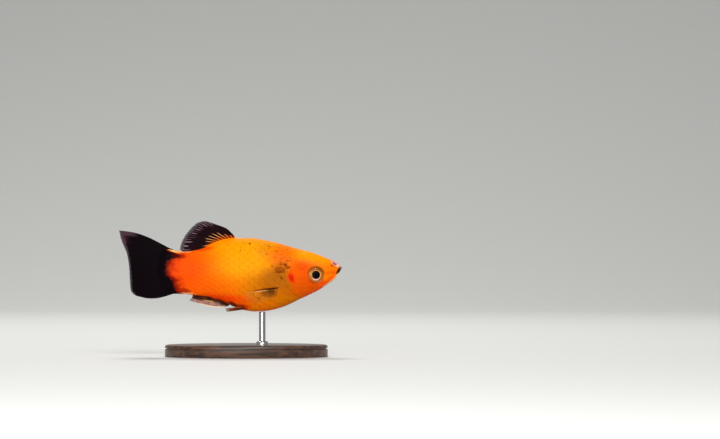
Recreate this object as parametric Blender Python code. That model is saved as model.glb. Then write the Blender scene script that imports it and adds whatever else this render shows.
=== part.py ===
"""Wagtail platy (Xiphophorus maculatus), a still, life-size model of an adult female on a display stand.

Run with blender --background --python part.py, or from Blender's text editor. Metres, +Z up. The head
points to +X, the fish's right side to -Y, and the origin is on the floor under the middle of its length.
The body is a loft: s is the distance behind the snout, and heights are measured from the body axis.
"""

import math

import bmesh
import bpy
import numpy as np

MM = 0.001

# Driving sizes
TOTAL_LENGTH = 55.0 * MM
SNOUT_X = TOTAL_LENGTH / 2
AXIS_Z = 21.8 * MM
TAIL_SWING = 0.9 * MM
SWING_FROM = 22.0 * MM
SWING_TO = 41.7 * MM
GAP = 0.3 * MM
CUTTER_REACH = 1.2 * MM

# Body curves: (distance behind the snout, value), in millimetres
BACK = [(0, 0), (0.37, 0.83), (1.1, 1.35), (3.44, 2.31), (6.4, 3.5), (12.3, 5.2), (18.2, 6.75), (23, 7.45),
        (26, 7.35), (29, 6.95), (31.5, 6.1), (34, 5.0), (37, 4.27), (38.7, 4.12), (40.3, 4.3), (41.8, 4.55),
        (43.5, 5.05)]
BELLY = [(0, -0.1), (0.25, -0.6), (1, -1.9), (1.96, -2.95), (3.44, -3.95), (5.65, -5.4), (9.3, -7.2),
         (15.2, -9.85), (18.2, -10.55), (21.1, -10.75), (23.6, -10.5), (26, -9.75), (28.5, -8.55),
         (31, -7.5), (34, -6.95), (37, -6.68), (41, -6.45), (43.5, -6.5)]
HALF_WIDTH = [(0, 0), (0.3, 1.0), (1, 1.65), (2, 2.15), (3.5, 2.65), (6.4, 3.2), (9.3, 3.6), (12.3, 3.95),
              (15, 4.15), (18, 4.25), (21, 4.15), (24, 3.8), (27, 3.25), (30, 2.65), (33, 2.1), (36, 1.6),
              (39, 1.15), (41.5, 0.8), (43.5, 0.55)]
WIDEST_HEIGHT = [(0, 0), (1, -0.2), (3.4, -0.6), (6.4, -0.9), (12.3, -1.5), (18, -1.9), (24, -1.6),
                 (30, -1.0), (36, -0.9), (43.5, -0.7)]
SQUARENESS = [(0, 0.62), (3.5, 0.7), (8, 0.8), (14, 0.92), (24, 1.0), (43.5, 1.05)]
RING_SIDES = 40
HEAD_RINGS, TORSO_RINGS, STOCK_RINGS = 24, 30, 12

# Where the body is parted, as (height, distance behind the snout), in millimetres
FACE_LINE = [(-4.6, 4.1), (-3, 3.1), (-1.5, 2.2), (0, 1.7), (1.6, 1.5)]
GILL_LINE = [(-8.4, 8.9), (-7.6, 9.8), (-6.8, 11.0), (-5, 13.0), (-2.8, 13.9), (-0.5, 13.2), (1.5, 12.2),
             (5.6, 11.9)]
STOCK_LINE = [(-7.2, 33.5), (-1, 33.8), (5.4, 33.5)]
TAIL_ROOT_LINE = [(-6.4, 41.0), (-4, 42.4), (-1, 43.2), (2.5, 42.7), (4.9, 41.9)]

# Eyes and nostrils
EYE_S, EYE_HEIGHT = 6.37 * MM, -1.65 * MM
EYE_RADIUS = 1.9 * MM
EYE_DEPTH = 1.15 * MM
EYE_BULGE = 0.35 * MM
EYE_SEGMENTS, EYE_RINGS = 24, 12
PUPIL_RADIUS = 1.0 * MM
PUPIL_RIM = 0.8
PUPIL_STEP = 0.12 * MM
PUPIL_SIDES = 20
NOSTRIL_S, NOSTRIL_HEIGHT, NOSTRIL_RADIUS = 2.5 * MM, 0.62 * MM, 0.3 * MM

# Mouth. The gape is (distance behind the snout, height), and a lip row is (share of the way from the gape
# to the face line, how far it stands out), in millimetres
GAPE = [(0, -0.02), (0.35, -0.1), (0.8, -0.38), (1.15, -0.85), (1.4, -1.5)]
GAPE_END = 1.4 * MM
MOUTH_OPEN = 0.45 * MM
MOUTH_CORNER_DROP = 0.2 * MM
LIP_ROWS = [(0, 0), (0.05, 0.13), (0.12, 0.2), (0.2, 0.17), (0.3, 0.06), (0.42, 0), (0.58, 0), (0.78, 0),
            (1, 0)]
LIP_AT_CORNER = 0.5
JAW_MIDDLE_S, JAW_MIDDLE_HEIGHT = 1.6 * MM, -0.4 * MM
JAW_STEPS = 12
GAPE_STEP = 0.002 * MM

# Gill covers. The front edge is (height, distance behind the snout), in millimetres
GILL_FRONT = [(-6.1, 10.6), (-5.8, 9.5), (-5.2, 8.9), (-4, 8.55), (-2, 8.8), (0, 9.2), (0.9, 9.8),
              (1.3, 10.9)]
GILL_TOP, GILL_BOTTOM = 1.3 * MM, -6.1 * MM
GILL_THICKNESS = 0.85 * MM
GILL_RAISE = 0.12 * MM
GILL_COLUMNS, GILL_ROWS = 9, 14
GILL_POCKET_REACH = 1.5 * MM

# Fins. A thickness is half the fin's at the root, half of it at the tips, and how far a ray stands proud of
# each face, in millimetres. Spacing over 1 draws the rows together towards the root
RAY_FADE = 0.6

# Dorsal fin: half folded. Its angles are above the line that runs straight back, its lengths are (share of
# the way from the first ray to the last, millimetres), and its last rays sag towards the back
DORSAL_FROM, DORSAL_TO = 26.3 * MM, 33.1 * MM
DORSAL_RAYS, DORSAL_ROWS = 10, 9
DORSAL_FIRST_ANGLE, DORSAL_LAST_ANGLE = math.radians(53), math.radians(-1)
DORSAL_CURL = math.radians(-16)
DORSAL_LENGTH = [(0, 3.0), (0.11, 5.0), (0.22, 7.45), (0.35, 8.1), (0.6, 8.0), (0.8, 7.65), (1, 7.0)]
DORSAL_SAG = 0.55 * MM
DORSAL_THICKNESS = (0.3, 0.13, 0.14)

# Caudal fin: its tips run down the rear margin, as (share of the way down, distance behind the snout) and
# (share of the way down, height), in millimetres
TAIL_ROOT_TOP, TAIL_ROOT_BOTTOM = 4.8 * MM, -6.35 * MM
TAIL_RAYS, TAIL_ROWS = 15, 12
TAIL_TIPS_BACK = [(0, 55.0), (0.1, 54.4), (0.3, 52.9), (0.5, 52.45), (0.7, 52.3), (0.85, 52.05), (0.94, 50.9),
                  (1, 48.7)]
TAIL_TIPS_HEIGHT = [(0, 9.2), (0.1, 6.9), (0.3, 3.0), (0.5, -0.25), (0.7, -3.3), (0.85, -5.6), (0.94, -6.8),
                    (1, -7.4)]
TAIL_TOP_BULGE, TAIL_BOTTOM_BULGE = 0.92 * MM, 0.5 * MM
TAIL_BULGE_SKEW = 1.15
TAIL_CURL = 1.6 * MM
TAIL_CURL_TOP = 0.4
TAIL_THICKNESS = (0.3, 0.12, 0.13)

# Anal fin: folded back along the belly
ANAL_FROM, ANAL_TO = 27.8 * MM, 31.5 * MM
ANAL_RAYS, ANAL_ROWS = 9, 8
ANAL_FIRST_TIP, ANAL_LAST_TIP = (37.6 * MM, -7.95 * MM), (36.6 * MM, -7.1 * MM)
ANAL_BULGE = 0.85 * MM
ANAL_THICKNESS = (0.28, 0.12, 0.1)

# Pectoral fins: half open, swung out from the side. Their tips are (share of the way from the first ray to
# the last, distance behind the snout) and (the same share, height), in millimetres
PECTORAL_ROOT_TOP, PECTORAL_ROOT_BOTTOM = (15.4 * MM, -4.5 * MM), (16.1 * MM, -6.6 * MM)
PECTORAL_RAYS, PECTORAL_ROWS, PECTORAL_SPACING = 11, 8, 1.5
PECTORAL_BACK = [(0, 23.1), (0.15, 23.4), (0.4, 23.0), (0.7, 21.7), (1, 19.7)]
PECTORAL_DOWN = [(0, -5.5), (0.15, -6.1), (0.4, -7.2), (0.7, -8.3), (1, -8.7)]
PECTORAL_ANGLE = math.radians(24)
PECTORAL_LAST_FOLD = 0.25
PECTORAL_BEND = 0.6 * MM
PECTORAL_THICKNESS = (0.32, 0.12, 0.1)

# Pelvic fins: small, folded back under the belly
PELVIC_ROOT_FRONT, PELVIC_ROOT_REAR = (23.2 * MM, -9.5 * MM), (24.1 * MM, -9.1 * MM)
PELVIC_RAYS, PELVIC_ROWS, PELVIC_SPACING = 6, 7, 1.4
PELVIC_FIRST_TIP, PELVIC_LAST_TIP = (28.0 * MM, -10.75 * MM), (28.3 * MM, -9.9 * MM)
PELVIC_TIP_SIDE = 1.7 * MM
PELVIC_BEND = 0.5 * MM
PELVIC_THICKNESS = (0.26, 0.13, 0.08)

# Stand
BASE_LENGTH, BASE_WIDTH, BASE_HEIGHT = 40 * MM, 24 * MM, 3 * MM
BASE_EDGE = 0.6 * MM
BASE_X = 4 * MM
BASE_SIDES = 48
ROD_S = 19.6 * MM
ROD_RADIUS = 0.8 * MM
ROD_SINK = 1.0 * MM
ROD_SIDES = 24

# Colour, roughness and metallic value
FINISHES = {
    "skin": ((1.0, 0.36, 0.02), 0.38, 0.0),
    "cheek": ((1.0, 0.30, 0.02), 0.34, 0.0),
    "lips": ((0.86, 0.55, 0.42), 0.4, 0.0),
    "eye": ((0.02, 0.02, 0.02), 0.08, 0.0),
    "black_fin": ((0.012, 0.008, 0.012), 0.4, 0.0),
    "clear_fin": ((0.85, 0.48, 0.22), 0.35, 0.0),
    "belly_fin": ((0.75, 0.5, 0.45), 0.35, 0.0),
    "walnut": ((0.075, 0.035, 0.018), 0.4, 0.0),
    "steel": ((0.72, 0.72, 0.7), 0.25, 1.0),
}


def smooth_curve(points, scale=MM, value_scale=MM, bend=lambda q: q):
    """A function through the points, cubic between them and without overshoot.

    bend spaces the positions anew.
    """
    at = np.array([bend(p[0] * scale) for p in points])
    value = np.array([p[1] * value_scale for p in points])
    step = np.diff(at)
    slope = np.diff(value) / step
    tangent = np.zeros(len(at))
    tangent[0], tangent[-1] = slope[0], slope[-1]
    for i in range(1, len(at) - 1):
        if slope[i - 1] * slope[i] > 0:
            before, after = 2 * step[i] + step[i - 1], step[i] + 2 * step[i - 1]
            tangent[i] = (before + after) / (before / slope[i - 1] + after / slope[i])

    def evaluate(q):
        q = min(max(bend(q), at[0]), at[-1])
        i = min(max(int(np.searchsorted(at, q)) - 1, 0), len(step) - 1)
        t = (q - at[i]) / step[i]
        return float(
            value[i] * (1 + 2 * t) * (1 - t) ** 2
            + tangent[i] * step[i] * t * (1 - t) ** 2
            + value[i + 1] * t * t * (3 - 2 * t)
            + tangent[i + 1] * step[i] * t * t * (t - 1)
        )

    return evaluate


def root_of(q):
    """Spaces a curve's points by their square root, so that the snout comes out blunt."""
    return math.copysign(math.sqrt(abs(q)), q)


back = smooth_curve(BACK, bend=root_of)
belly = smooth_curve(BELLY, bend=root_of)
half_width = smooth_curve(HALF_WIDTH, bend=root_of)
widest_height = smooth_curve(WIDEST_HEIGHT)
squareness_at = smooth_curve(SQUARENESS, value_scale=1)
face_line = smooth_curve(FACE_LINE)
gill_line = smooth_curve(GILL_LINE)
stock_line = smooth_curve(STOCK_LINE)
tail_root_line = smooth_curve(TAIL_ROOT_LINE)
gill_front = smooth_curve(GILL_FRONT)
gape = smooth_curve(GAPE)
dorsal_length = smooth_curve(DORSAL_LENGTH, scale=1)
tail_tips_back = smooth_curve(TAIL_TIPS_BACK, scale=1)
tail_tips_height = smooth_curve(TAIL_TIPS_HEIGHT, scale=1)
pectoral_back = smooth_curve(PECTORAL_BACK, scale=1)
pectoral_down = smooth_curve(PECTORAL_DOWN, scale=1)


def swing(s):
    """How far the tail's stroke has carried the body's middle to +Y."""
    return TAIL_SWING * max(0.0, (s - SWING_FROM) / (SWING_TO - SWING_FROM)) ** 2


def height_at(s, rise):
    """Height on the ring at s, for rise from -1 at the belly to 1 at the back."""
    middle = widest_height(s)
    return middle + (back(s) - middle) * rise if rise > 0 else middle - (belly(s) - middle) * rise


def side_at(s, height):
    """Half width of the body at a distance behind the snout and a height."""
    middle = widest_height(s)
    reach = (back(s) if height > middle else belly(s)) - middle
    rise = min(abs((height - middle) / reach), 1.0)
    return half_width(s) * math.sqrt(1 - rise * rise) ** squareness_at(s)


def angle_at(s, height):
    """The ring angle of a point on the body, from its distance behind the snout and its height."""
    middle = widest_height(s)
    reach = back(s) - middle if height > middle else middle - belly(s)
    return math.asin(max(-1.0, min(1.0, (height - middle) / reach)))


def place(s, side, height):
    """A point in the part's frame."""
    return (SNOUT_X - s, side + swing(s), AXIS_Z + height)


def ring_point(s, angle):
    """A point on the body's skin, with the angle 0 at its left side and a quarter turn at its back."""
    rise, width = math.sin(angle), math.cos(angle)
    side = half_width(s) * math.copysign(abs(width) ** squareness_at(s), width)
    return place(s, 0.0 if abs(width) < 1e-9 else side, height_at(s, rise))


def meet(line, angle, offset=0.0):
    """How far behind the snout the ring line at this angle crosses a parting line."""
    s = line(0.0) + offset
    for _ in range(80):
        s = (s + line(height_at(s, math.sin(angle))) + offset) / 2
    return s


def blend(a, b, t):
    return tuple(x + (y - x) * t for x, y in zip(a, b))


def finish_mesh(name, vertices, faces):
    """Makes the object, turns its faces outwards and shades it smooth but for its sharp edges."""
    mesh = bpy.data.meshes.new(name)
    mesh.from_pydata([tuple(v) for v in vertices], [], faces)
    work = bmesh.new()
    work.from_mesh(mesh)
    bmesh.ops.recalc_face_normals(work, faces=work.faces)
    work.to_mesh(mesh)
    work.free()
    piece = bpy.data.objects.new(name, mesh)
    bpy.context.scene.collection.objects.link(piece)
    mesh.shade_smooth()
    mesh.set_sharp_from_angle(angle=math.radians(40))
    return piece


def paint(piece, finish):
    """Gives the piece its own material from the table of finishes."""
    colour, roughness, metallic = FINISHES[finish]
    material = bpy.data.materials.new(piece.name + "_" + finish)
    material.use_nodes = True
    shader = material.node_tree.nodes["Principled BSDF"]
    shader.inputs["Base Color"].default_value = (*colour, 1.0)
    shader.inputs["Roughness"].default_value = roughness
    shader.inputs["Metallic"].default_value = metallic
    material.diffuse_color = (*colour, 1.0)
    piece.data.materials.clear()
    piece.data.materials.append(material)
    return piece


def flatten(piece):
    """Applies the piece's modifiers, and keeps its largest closed surface."""
    graph = bpy.context.evaluated_depsgraph_get()
    mesh = bpy.data.meshes.new_from_object(piece.evaluated_get(graph))
    piece.modifiers.clear()
    piece.data = mesh
    work = bmesh.new()
    work.from_mesh(mesh)
    left, shells = set(work.faces), []
    while left:
        shell, edge_of_shell = set(), [left.pop()]
        while edge_of_shell:
            face = edge_of_shell.pop()
            shell.add(face)
            near = {other for edge in face.edges for other in edge.link_faces} & left
            left -= near
            edge_of_shell.extend(near)
        shells.append(shell)
    shells.sort(key=lambda shell: sum(face.calc_area() for face in shell))
    for shell in shells[:-1]:
        bmesh.ops.delete(work, geom=list(shell), context="FACES")
    bmesh.ops.delete(work, geom=[v for v in work.verts if not v.link_faces], context="VERTS")
    work.to_mesh(mesh)
    work.free()


def combine(piece, tool, operation):
    """Cuts the piece by a closed mesh, or joins the two, and removes that mesh."""
    tool.hide_render = True
    tool.display_type = "WIRE"
    step = piece.modifiers.new(operation.title(), "BOOLEAN")
    step.operation = operation
    step.solver = "EXACT"
    step.object = tool
    flatten(piece)
    bpy.data.objects.remove(tool)
    return piece


def circle(sides):
    """The cosine and sine of each corner of a regular ring."""
    turns = [2 * math.pi * k / sides for k in range(sides)]
    return [(math.cos(turn), math.sin(turn)) for turn in turns]


def stack(name, rings):
    """A closed solid over rings of the same number of points, with flat ends."""
    sides = len(rings[0])
    vertices = [point for ring in rings for point in ring]
    last = len(vertices) - 1
    faces = [tuple(range(sides)), tuple(range(last, last - sides, -1))]
    for row in range(0, last + 1 - sides, sides):
        faces += [(row + k, row + (k + 1) % sides, row + sides + (k + 1) % sides, row + sides + k)
                  for k in range(sides)]
    return finish_mesh(name, vertices, faces)


def ball(name, centre, radii, segments, rings):
    """An ellipsoid with its poles towards the two sides of the body."""
    vertices = [(centre[0], centre[1] - radii[1], centre[2])]
    for j in range(1, rings):
        around = math.pi * j / rings
        out, along = radii[1] * math.cos(around), math.sin(around)
        vertices += [(centre[0] + radii[0] * along * c, centre[1] - out, centre[2] + radii[2] * along * s)
                     for c, s in circle(segments)]
    vertices.append((centre[0], centre[1] + radii[1], centre[2]))
    last = len(vertices) - 1
    faces = [(0, 1 + i, 1 + (i + 1) % segments) for i in range(segments)]
    for j in range(rings - 2):
        row = 1 + j * segments
        above = row + segments
        faces += [(row + i, row + (i + 1) % segments, above + (i + 1) % segments, above + i)
                  for i in range(segments)]
    row = 1 + (rings - 2) * segments
    faces += [(last, row + (i + 1) % segments, row + i) for i in range(segments)]
    return finish_mesh(name, vertices, faces)


def slab_faces(columns, rows):
    """Faces of two like sheets of points and the rim between them, split alike on both sides."""
    across, sheet = columns + 1, (columns + 1) * (rows + 1)
    faces = []
    for j in range(rows):
        for i in range(columns):
            a = j * across + i
            for corners in ((a, a + 1, a + across + 1), (a, a + across + 1, a + across)):
                faces.append(corners)
                faces.append(tuple(sheet + c for c in reversed(corners)))
    rim = list(range(across)) + [j * across + columns for j in range(1, rows + 1)]
    rim += [rows * across + i for i in range(columns - 1, -1, -1)]
    rim += [j * across for j in range(rows - 1, 0, -1)]
    return faces + [(a, sheet + a, sheet + b, b) for a, b in zip(rim, rim[1:] + rim[:1])]


def loft(name, start, end, rings, first_offset=0.0):
    """A length of body between two parting lines, capped by faces that run straight across."""
    angles = [-math.pi / 2 + 2 * math.pi * i / RING_SIDES for i in range(RING_SIDES)]
    first = [meet(start, a, first_offset) for a in angles]
    last = [meet(end, a) for a in angles]
    vertices = [
        ring_point(first[i] + (last[i] - first[i]) * j / rings, angles[i])
        for j in range(rings + 1)
        for i in range(RING_SIDES)
    ]
    faces = [
        (j * RING_SIDES + i, j * RING_SIDES + (i + 1) % RING_SIDES,
         (j + 1) * RING_SIDES + (i + 1) % RING_SIDES, (j + 1) * RING_SIDES + i)
        for j in range(rings)
        for i in range(RING_SIDES)
    ]
    half = RING_SIDES // 2
    for base in (0, rings * RING_SIDES):
        faces.append((base, base + 1, base + RING_SIDES - 1))
        faces += [(base + i, base + i + 1, base + RING_SIDES - i - 1, base + RING_SIDES - i)
                  for i in range(1, half - 1)]
        faces.append((base + half - 1, base + half, base + half + 1))
    return finish_mesh(name, vertices, faces)


def eye_centre(side):
    """The middle of an eyeball, so deep that only its front bulges from the skin."""
    return place(EYE_S, side * (side_at(EYE_S, EYE_HEIGHT) + EYE_BULGE - EYE_DEPTH), EYE_HEIGHT)


def make_eye(name, side):
    """A flattened ball with a raised pupil disc."""
    x, y, z = eye_centre(side)
    eye = ball(name, (x, y, z), (EYE_RADIUS, EYE_DEPTH, EYE_RADIUS), EYE_SEGMENTS, EYE_RINGS)
    front = y + side * EYE_DEPTH
    profile = [(front - side * 4 * PUPIL_STEP, PUPIL_RADIUS),
               (front, PUPIL_RADIUS),
               (front + side * PUPIL_STEP / 2, PUPIL_RADIUS * PUPIL_RIM)]
    pupil = stack("pupil", [[(x + radius * c, at, z + radius * s) for c, s in circle(PUPIL_SIDES)]
                            for at, radius in profile])
    return paint(combine(eye, pupil, "UNION"), "eye")


def gill_plate(name, side, margin, inner, outer, rear_reach=0.0):
    """The gill cover's slab on one side. margin widens it, for the pocket that it lies in."""
    top, bottom = GILL_TOP + margin, GILL_BOTTOM - margin
    sheets = []
    for depth in (outer, -inner):
        for j in range(GILL_ROWS + 1):
            height = bottom + (top - bottom) * j / GILL_ROWS
            front, rear = gill_front(height) - margin, gill_line(height) + rear_reach
            for i in range(GILL_COLUMNS + 1):
                s = front + (rear - front) * i / GILL_COLUMNS
                sheets.append(place(s, side * (side_at(s, height) + depth), height))
    return finish_mesh(name, sheets, slab_faces(GILL_COLUMNS, GILL_ROWS))


def make_gill_cover(name, side):
    return paint(gill_plate(name, side, 0.0, GILL_THICKNESS, GILL_RAISE), "cheek")


def make_head():
    """Skull and throat, with sockets for the eyes, nostril pits, and pockets under the gill covers."""
    head = loft("head", face_line, gill_line, HEAD_RINGS)
    socket_radii = (EYE_RADIUS + GAP, EYE_DEPTH + GAP, EYE_RADIUS + GAP)
    for side in (-1, 1):
        combine(head, ball("socket", eye_centre(side), socket_radii, EYE_SEGMENTS, EYE_RINGS), "DIFFERENCE")
        pocket = gill_plate("pocket", side, GAP, GILL_THICKNESS + GAP, CUTTER_REACH, GILL_POCKET_REACH)
        combine(head, pocket, "DIFFERENCE")
        pit = place(NOSTRIL_S, side * side_at(NOSTRIL_S, NOSTRIL_HEIGHT), NOSTRIL_HEIGHT)
        combine(head, ball("nostril", pit, (NOSTRIL_RADIUS,) * 3, 8, 6), "DIFFERENCE")
    return paint(head, "skin")


def make_jaw(name, up):
    """One jaw, from the gape to the face line, with its lip as a swelling along the gape.

    up is 1 for the upper jaw and -1 for the lower. Step 0 is the middle of the mouth, and the last step
    on each side is its corner. The faces that close it run straight across the mouth.
    """
    middle_profile = back if up > 0 else belly

    def opening(s):
        return gape(s) + up * (GAP + (MOUTH_OPEN - GAP) * (1 - s / GAPE_END)) / 2

    first_s = GAPE_STEP
    while up * (middle_profile(first_s) - opening(first_s)) < 0:
        first_s += GAPE_STEP
    corner_height = opening(GAPE_END) - MOUTH_CORNER_DROP
    corner = angle_at(face_line(corner_height) - GAP, corner_height)
    jaw_middle = np.array(place(JAW_MIDDLE_S, 0.0, JAW_MIDDLE_HEIGHT))
    rows = []
    for k in range(JAW_STEPS + 1):
        share = k / JAW_STEPS
        edge_s = first_s + (GAPE_END - first_s) * share**2
        edge_angle = angle_at(edge_s, opening(edge_s))
        face_angle = up * math.pi / 2 + (corner - up * math.pi / 2) * share
        face_s = meet(face_line, face_angle, -GAP)
        lip = MM * (1 - (1 - LIP_AT_CORNER) * share)
        row = []
        for part, swell in LIP_ROWS:
            s = (root_of(edge_s) + (root_of(face_s) - root_of(edge_s)) * part) ** 2
            at = np.array(ring_point(s, edge_angle + (face_angle - edge_angle) * part))
            away = at - jaw_middle
            row.append(at + away / np.linalg.norm(away) * swell * lip)
        rows.append(row)
    mirrored = [[p * np.array((1.0, -1.0, 1.0)) for p in row] for row in rows[:0:-1]]
    grid = mirrored + rows
    across, middle, last = len(LIP_ROWS), JAW_STEPS, len(grid) - 1
    faces = [(i * across + j, (i + 1) * across + j, (i + 1) * across + j + 1, i * across + j + 1)
             for i in range(last) for j in range(across - 1)]
    for j in (0, across - 1):
        faces.append(((middle - 1) * across + j, middle * across + j, (middle + 1) * across + j))
        faces += [((middle - k - 1) * across + j, (middle - k) * across + j,
                   (middle + k) * across + j, (middle + k + 1) * across + j) for k in range(1, middle)]
    faces += [(j, j + 1, last * across + j + 1, last * across + j) for j in range(across - 1)]
    return paint(finish_mesh(name, [p for row in grid for p in row], faces), "lips")


def fin(name, centre, thickness, rays, rows, finish, spacing=1.0):
    """A thin fin with its rays raised in its own two faces.

    centre(u, v) is the middle surface, from the first ray (u 0) to the last (u 1) and from the root (v 0)
    to the tips (v 1). Every second column of points is a ray.
    """
    root, tip, ray = (value * MM for value in thickness)
    columns = 2 * rays - 1
    sheets = [[], []]
    for j in range(rows + 1):
        v = (j / rows) ** spacing
        for i in range(columns + 1):
            u = i / columns
            at = np.array(centre(u, v))
            du = np.array(centre(min(u + 0.01, 1), v)) - np.array(centre(max(u - 0.01, 0), v))
            dv = np.array(centre(u, min(v + 0.005, 1))) - np.array(centre(u, max(v - 0.005, 0)))
            normal = np.cross(du, dv)
            normal /= np.linalg.norm(normal)
            ridge = ray * (1 - RAY_FADE * v) if i % 2 == 0 else 0.0
            reach = root + (tip - root) * v + ridge
            sheets[0].append(tuple(at + normal * reach))
            sheets[1].append(tuple(at - normal * reach))
    return paint(finish_mesh(name, sheets[0] + sheets[1], slab_faces(columns, rows)), finish)


def ray_point(root, side, tip, bend, v):
    """A point along a ray that leaves the body square to its skin, turns, and runs straight to its tip."""
    s, height = root
    angle = angle_at(s, height)
    angle = angle if side > 0 else math.pi - angle
    along = np.array(ring_point(s + 0.05 * MM, angle)) - np.array(ring_point(s - 0.05 * MM, angle))
    around = np.array(ring_point(s, angle + 0.01)) - np.array(ring_point(s, angle - 0.01))
    normal = np.cross(along, around)
    normal *= side * math.copysign(1.0, normal[1]) / np.linalg.norm(normal)
    start = np.array(ring_point(s, angle)) + normal * GAP
    towards = np.array(tip) - start - normal * bend
    reach = np.linalg.norm(towards)
    towards /= reach
    turn = math.acos(float(normal @ towards))
    across = (towards - normal * math.cos(turn)) / math.sin(turn)
    travel = v * (bend * turn + reach)
    turned = min(travel / bend, turn)
    curve = start + bend * (math.sin(turned) * normal + (1 - math.cos(turned)) * across)
    return tuple(curve + max(0.0, travel - bend * turn) * towards)


def dorsal_centre(u, v):
    s = DORSAL_FROM + (DORSAL_TO - DORSAL_FROM) * u
    length = dorsal_length(u) * v
    angle = DORSAL_FIRST_ANGLE + (DORSAL_LAST_ANGLE - DORSAL_FIRST_ANGLE) * u + DORSAL_CURL * v / 2
    rise = back(s) + GAP + length * math.sin(angle) - DORSAL_SAG * u**4 * math.sin(math.pi * v)
    run = s + length * math.cos(angle)
    return place(run, 0.0, rise)


def tail_centre(u, v):
    root_height = TAIL_ROOT_TOP + (TAIL_ROOT_BOTTOM - TAIL_ROOT_TOP) * u
    root_s = tail_root_line(root_height) + GAP
    bulge = TAIL_TOP_BULGE * (1 - u) ** 3 - TAIL_BOTTOM_BULGE * u**3
    s = root_s + (tail_tips_back(u) - root_s) * v
    height = root_height + (tail_tips_height(u) - root_height) * v
    height += bulge * math.sin(math.pi * v**TAIL_BULGE_SKEW)
    stroke = swing(SWING_TO) + (s - SWING_TO) * 2 * TAIL_SWING / (SWING_TO - SWING_FROM)
    curl = TAIL_CURL * v * v * (TAIL_CURL_TOP + (1 - TAIL_CURL_TOP) * u)
    return (SNOUT_X - s, stroke + curl, AXIS_Z + height)


def anal_centre(u, v):
    s = ANAL_FROM + (ANAL_TO - ANAL_FROM) * u
    root = (s, belly(s) - GAP)
    tip = blend(ANAL_FIRST_TIP, ANAL_LAST_TIP, u)
    run, height = blend(root, tip, v)
    height -= ANAL_BULGE * (1 - u) ** 1.3 * math.sin(math.pi * v**0.7)
    return place(run, 0.0, height)


def pectoral_centre(side):
    def centre(u, v):
        root = blend(PECTORAL_ROOT_TOP, PECTORAL_ROOT_BOTTOM, u)
        tip_s = pectoral_back(u)
        out = math.tan(PECTORAL_ANGLE) * (tip_s - root[0]) * (1 - PECTORAL_LAST_FOLD * u)
        tip = place(tip_s, side * (side_at(*root) + GAP + PECTORAL_BEND + out), pectoral_down(u))
        return ray_point(root, side, tip, PECTORAL_BEND, v)

    return centre


def pelvic_centre(side):
    def centre(u, v):
        root = blend(PELVIC_ROOT_FRONT, PELVIC_ROOT_REAR, u)
        tip_s, tip_height = blend(PELVIC_FIRST_TIP, PELVIC_LAST_TIP, u)
        return ray_point(root, side, place(tip_s, side * PELVIC_TIP_SIDE, tip_height), PELVIC_BEND, v)

    return centre


def make_fins():
    """Every fin, set a gap off the body that it grows from."""
    fin("dorsal_fin", dorsal_centre, DORSAL_THICKNESS, DORSAL_RAYS, DORSAL_ROWS, "black_fin")
    fin("caudal_fin", tail_centre, TAIL_THICKNESS, TAIL_RAYS, TAIL_ROWS, "black_fin")
    fin("anal_fin", anal_centre, ANAL_THICKNESS, ANAL_RAYS, ANAL_ROWS, "belly_fin")
    for word, side in (("right", -1), ("left", 1)):
        fin("pectoral_fin_" + word, pectoral_centre(side), PECTORAL_THICKNESS, PECTORAL_RAYS, PECTORAL_ROWS,
            "clear_fin", PECTORAL_SPACING)
        fin("pelvic_fin_" + word, pelvic_centre(side), PELVIC_THICKNESS, PELVIC_RAYS, PELVIC_ROWS,
            "belly_fin", PELVIC_SPACING)


def rod(name, x, low, high, radius):
    """An upright rod with flat ends."""
    rings = [[(x + radius * c, radius * s, z) for c, s in circle(ROD_SIDES)] for z in (low, high)]
    return stack(name, rings)


def make_stand():
    """A flat oval base with a round upper edge, and one rod that ends a gap below the belly."""
    profile = [(1, 0), (1, BASE_HEIGHT - BASE_EDGE)]
    for turn in (math.radians(30), math.radians(60), math.radians(90)):
        share = 1 - BASE_EDGE / (BASE_WIDTH / 2) * (1 - math.cos(turn))
        profile.append((share, BASE_HEIGHT - BASE_EDGE * (1 - math.sin(turn))))
    rings = [[(BASE_X + share * BASE_LENGTH / 2 * c, share * BASE_WIDTH / 2 * s, z)
              for c, s in circle(BASE_SIDES)] for share, z in profile]
    base = stack("stand_base", rings)
    rod_x, rod_foot = SNOUT_X - ROD_S, BASE_HEIGHT - ROD_SINK
    hole = rod("hole", rod_x, rod_foot - GAP, BASE_HEIGHT + CUTTER_REACH, ROD_RADIUS + GAP)
    paint(combine(base, hole, "DIFFERENCE"), "walnut")
    paint(rod("stand_rod", rod_x, rod_foot, AXIS_Z + belly(ROD_S) - GAP, ROD_RADIUS), "steel")


def clear_scene():
    for item in list(bpy.data.objects):
        bpy.data.objects.remove(item)


def main():
    clear_scene()
    make_head()
    make_jaw("upper_jaw", 1)
    make_jaw("lower_jaw", -1)
    paint(loft("torso", gill_line, stock_line, TORSO_RINGS, GAP), "skin")
    paint(loft("tail_stock", stock_line, tail_root_line, STOCK_RINGS, GAP), "skin")
    for word, side in (("right", -1), ("left", 1)):
        make_gill_cover("gill_cover_" + word, side)
        make_eye("eye_" + word, side)
    make_fins()
    make_stand()


main()
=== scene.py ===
"""The finished look of a wagtail platy on its display stand.

It builds the skin, scales, eyes, fins and stand, then the floor, lights and camera. The file is laid out
as an add-on and run as a script. Everything is in metres, with the head towards +X, the fish's right side
towards -Y and the floor at 0. On the body, s is the distance behind the snout, heights count from the body's
axis, and an angle of 90 degrees on a ring is the back and -90 the belly.
"""

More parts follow.
